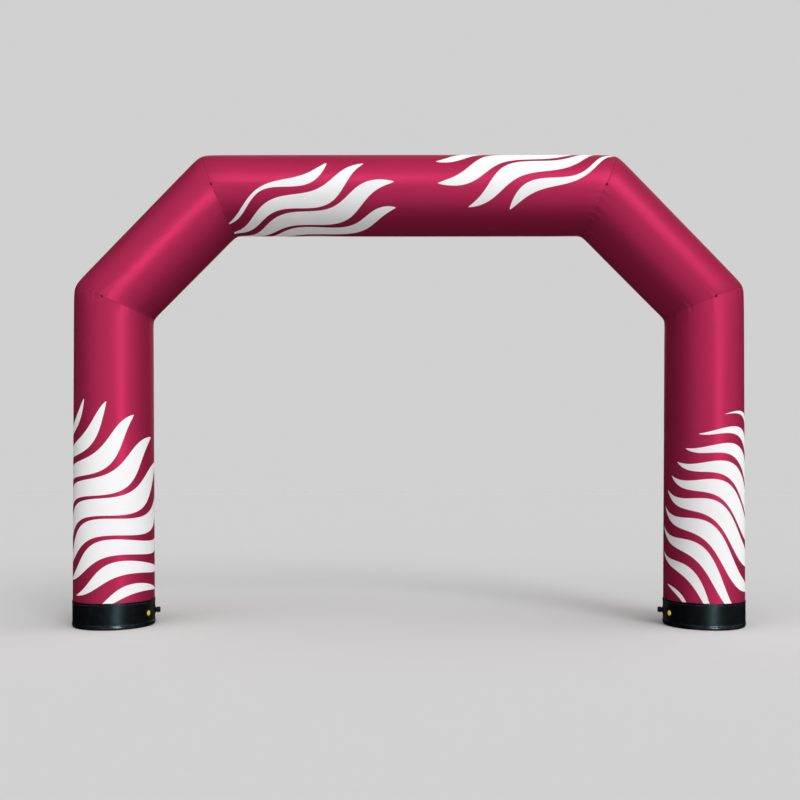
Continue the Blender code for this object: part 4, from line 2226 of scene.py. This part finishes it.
@dataclass(frozen=True)
class Studio:
    """Pale floor, soft lights and the camera."""

    floor_radius: float = 90.0
    floor_steps: int = 96
    key_towards: tuple[float, float] = (30.0, 36.0)  # azimuth and elevation
    key_light: float = 0.80
    key_spread: float = 26.0
    fill_towards: tuple[float, float] = (170.0, 30.0)
    fill_light: float = 0.80
    fill_spread: float = 60.0
    cloth_spread: float = 9.0  # of the lights that follow the tubes
    foot_spread: float = 14.0  # of those that follow the feet
    edge_towards: tuple[float, float] = (-150.0, 8.0)  # of the right cuff's, from behind
    edge_light: float = 0.7
    edge_spread: float = 20.0
    plug_towards: tuple[float, float] = (-60.0, 20.0)
    plug_light: float = 0.8
    plug_spread: float = 20.0
    glow: float = 1.10  # of the bright side of the surroundings
    glow_towards: tuple[float, float] = (21.0, 32.0)  # azimuth and elevation of that side
    glow_starts: float = -0.17  # cosines of the angle from that side
    glow_full: float = 0.80
    shade: float = 0.02  # of the dark side
    backdrop: float = 0.635
    camera_distance: float = 8.2
    camera_height: float = 1.296
    lens: float = 41.15
    shift_x: float = -0.0112
    shift_y: float = 0.100
    finish: StudioFloor = StudioFloor("studio_floor")

    def build(self, arch: Arch) -> None:
        """Set up the studio round the arch.

        Args:
            arch: the dressed arch, for the lights that follow its tubes.
        """
        bpy.context.scene.view_settings.view_transform = "Standard"
        self.build_floor()
        self.build_world()
        self.build_camera()
        for light in self.lights(arch):
            light.hang()

    @property
    def camera_place(self) -> Vector:
        """Where the camera stands, in front of the arch's middle."""
        return Vector((0.0, -self.camera_distance, self.camera_height))

    def lights(self, arch: Arch) -> Iterator[SoftSun]:
        """The key light and the fill, then what lights single pieces.

        Args:
            arch: the dressed arch.

        Yields:
            Each light, in the order in which they are hung.
        """
        yield SoftSun("key_light", heading(*self.key_towards), self.key_light, self.key_spread)
        fill = (heading(*self.fill_towards), self.fill_light, self.fill_spread)
        yield SoftSun("back_fill", *fill, arch.pieces())
        for cover, glint in arch.highlights():
            strip = (self.mirrored(cover, glint), glint.strength, self.cloth_spread)
            yield SoftSun("strip_light_" + cover.name, *strip, arch.pieces(cover.name))
        for side, (cover, glint) in arch.foot_highlights().items():
            cuff = "base_cuff_" + side.word
            strip = (self.mirrored(cover, glint), glint.strength, self.foot_spread)
            black = arch.pieces(cuff, "relief_seat_" + side.word)
            yield SoftSun("strip_light_" + cuff, *strip, black, steady=True)
            azimuth, elevation = self.edge_towards
            behind = heading(side.value * azimuth, elevation)
            outside = arch.pieces(cuff + "_wall", cuff + "_hem")
            edge = (behind, self.edge_light, self.edge_spread)
            yield SoftSun("edge_light_" + cuff, *edge, outside)
        aside = (heading(*self.plug_towards), self.plug_light, self.plug_spread)
        yield SoftSun("plug_light", *aside, arch.pieces("relief_plug_right"))

    def mirrored(self, cover: TubeCover, glint: Highlight) -> Vector:
        """Where a light stands for the camera to see its reflection along a tube.

        Args:
            cover: the tube.
            glint: how the highlight lies along it.

        Returns:
            The direction towards the light.
        """
        run = cover.run
        lean = math.radians(glint.lean)
        slant = math.radians(glint.slant)
        point = cover.start.place.lerp(cover.end.place, 0.5)
        facing = self.across_run(self.camera_place - point, run)
        aside = self.across_run(cover.outward - facing * cover.outward.dot(facing), run)
        normal = facing * math.cos(lean) + aside * math.sin(lean)
        point += normal * cover.start.radius
        facing = self.across_run(self.camera_place - point, run)
        across = 2.0 * normal.dot(facing) * normal - facing
        return across * math.cos(slant) - run * math.sin(slant)

    @staticmethod
    def across_run(direction: Vector, run: Vector) -> Vector:
        """The part of a direction that lies across a tube's axis, as a unit vector."""
        return (direction - run * direction.dot(run)).normalized()

    def build_floor(self) -> None:
        """Lay a round floor, which isn't part of the arch."""
        mesh = turned("studio_floor", [(self.floor_radius, 0.0), (0.0, 0.0)], self.floor_steps)
        mesh.materials.append(self.finish.material())
        thing = placed("studio_floor", mesh)
        thing.visible_glossy = False

    def build_world(self) -> None:
        """A broad soft glow from one side, and a backdrop in the floor's tone."""
        world = bpy.data.worlds.new("studio")
        bpy.context.scene.world = world
        world.use_nodes = True
        graph = Graph(world.node_tree)
        background = world.node_tree.nodes["Background"]
        rays = graph.out("ShaderNodeLightPath", "Is Camera Ray")
        x, y, z = graph.split(graph.out("ShaderNodeTexCoord", "Generated"))
        bright = heading(*self.glow_towards)
        nearness = x * bright.x + y * bright.y + z * bright.z
        glow = graph.step(nearness, self.glow_starts, self.glow_full)
        surroundings = self.shade + glow * (self.glow - self.shade)
        strength = surroundings + rays * (self.backdrop - surroundings)
        graph.feed(background.inputs["Strength"], strength)
        graph.feed(background.inputs["Color"], (1.0, 1.0, 1.0))

    def build_camera(self) -> None:
        """Stand the camera in front of the arch, level."""
        view = bpy.data.cameras.new("camera")
        view.lens = self.lens
        view.shift_x = self.shift_x
        view.shift_y = self.shift_y
        thing = placed("camera", view)
        thing.location = self.camera_place
        thing.rotation_euler = (math.radians(90.0), 0.0, 0.0)
        bpy.context.scene.camera = thing


@dataclass
class Arch:
    """The whole arch: its cloth tubes, its feet and its studs."""

    layout: ArchLayout
    covers: list[TubeCover] = field(default_factory=list)
    columns: int = 200  # of the cloth's mesh, round a tube
    long_rows: int = 120  # along a leg or the beam
    shoulder_rows: int = 90
    beam_swell: float = 0.002

    # Each tube with its prints and the highlight along it, from the left foot to the right
    # one. The key light alone makes the highlight on the right shoulder.
    TUBES = {
        "leg_cover_left": ((LEFT_LEG_WAVES,), Highlight(-9.8, 0.64)),
        "shoulder_cover_left": ((), Highlight(11.5, 0.59)),
        "beam_cover": ((BEAM_LOW_WAVES, BEAM_HIGH_WAVES), Highlight(25.0, 0.43, 8.0)),
        "shoulder_cover_right": ((), None),
        "leg_cover_right": ((RIGHT_LEG_WAVES,), Highlight(22.0, 0.57)),
    }
    # The highlights of the feet's dark pieces
    FEET = {Side.LEFT: Highlight(-3.3, 15.0), Side.RIGHT: Highlight(13.5, 14.8)}

    def build(self) -> None:
        """Build every sub-assembly."""
        stitches = StitchRows()
        grips = GripRibs()
        self.build_covers(stitches)
        for side in Side:
            cuff = BaseCuff(self.layout, side)
            cuff.build(stitches)
            FootFittings(self.layout, side, cuff).build(grips, stitches)
        TieStuds().build()

    def build_covers(self, stitches: StitchRows) -> None:
        """Build and sew the tubes from the left foot to the right one.

        Args:
            stitches: what lays a row of stitches.
        """
        skin = SkinTree()
        corners = self.layout.corners()
        for (name, (prints, _)), start, end in zip(self.TUBES.items(), corners, corners[1:]):
            cover = TubeCover(
                name=name,
                start=start,
                end=end,
                columns=self.columns,
                rows=self.shoulder_rows if name.startswith("shoulder") else self.long_rows,
                cloth=PrintedCloth("printed_cloth_" + name, prints),
                swell=self.beam_swell if name == "beam_cover" else 0.0,
            )
            cover.build(skin)
            cover.sew(stitches)
            self.covers.append(cover)

    def highlights(self) -> Iterator[tuple[TubeCover, Highlight]]:
        """The tubes that have a light of their own.

        Yields:
            Each tube with its highlight.
        """
        for cover, (_, glint) in zip(self.covers, self.TUBES.values()):
            if glint:
                yield cover, glint

    def foot_highlights(self) -> dict[Side, tuple[TubeCover, Highlight]]:
        """For each foot, the tube over it and the highlight on its dark pieces."""
        legs = {Side.LEFT: self.covers[0], Side.RIGHT: self.covers[-1]}
        return {side: (leg, self.FEET[side]) for side, leg in legs.items()}

    @staticmethod
    def pieces(*starts: str) -> tuple[bpy.types.Object, ...]:
        """The dressed pieces.

        Args:
            starts: how the names of the meant ones start, or nothing for every piece.

        Returns:
            The pieces.
        """
        made = (thing for thing in bpy.context.scene.objects if PIECE_MARK in thing)
        return tuple(thing for thing in made if thing.name.startswith(starts or ""))


def main() -> None:
    """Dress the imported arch."""
    logging.basicConfig(level=logging.INFO, format="%(name)s %(message)s", stream=sys.stdout)
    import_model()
    arch = Arch(ArchLayout.from_frame())
    arch.build()
    Studio().build(arch)


if __name__ == "__main__":
    main()
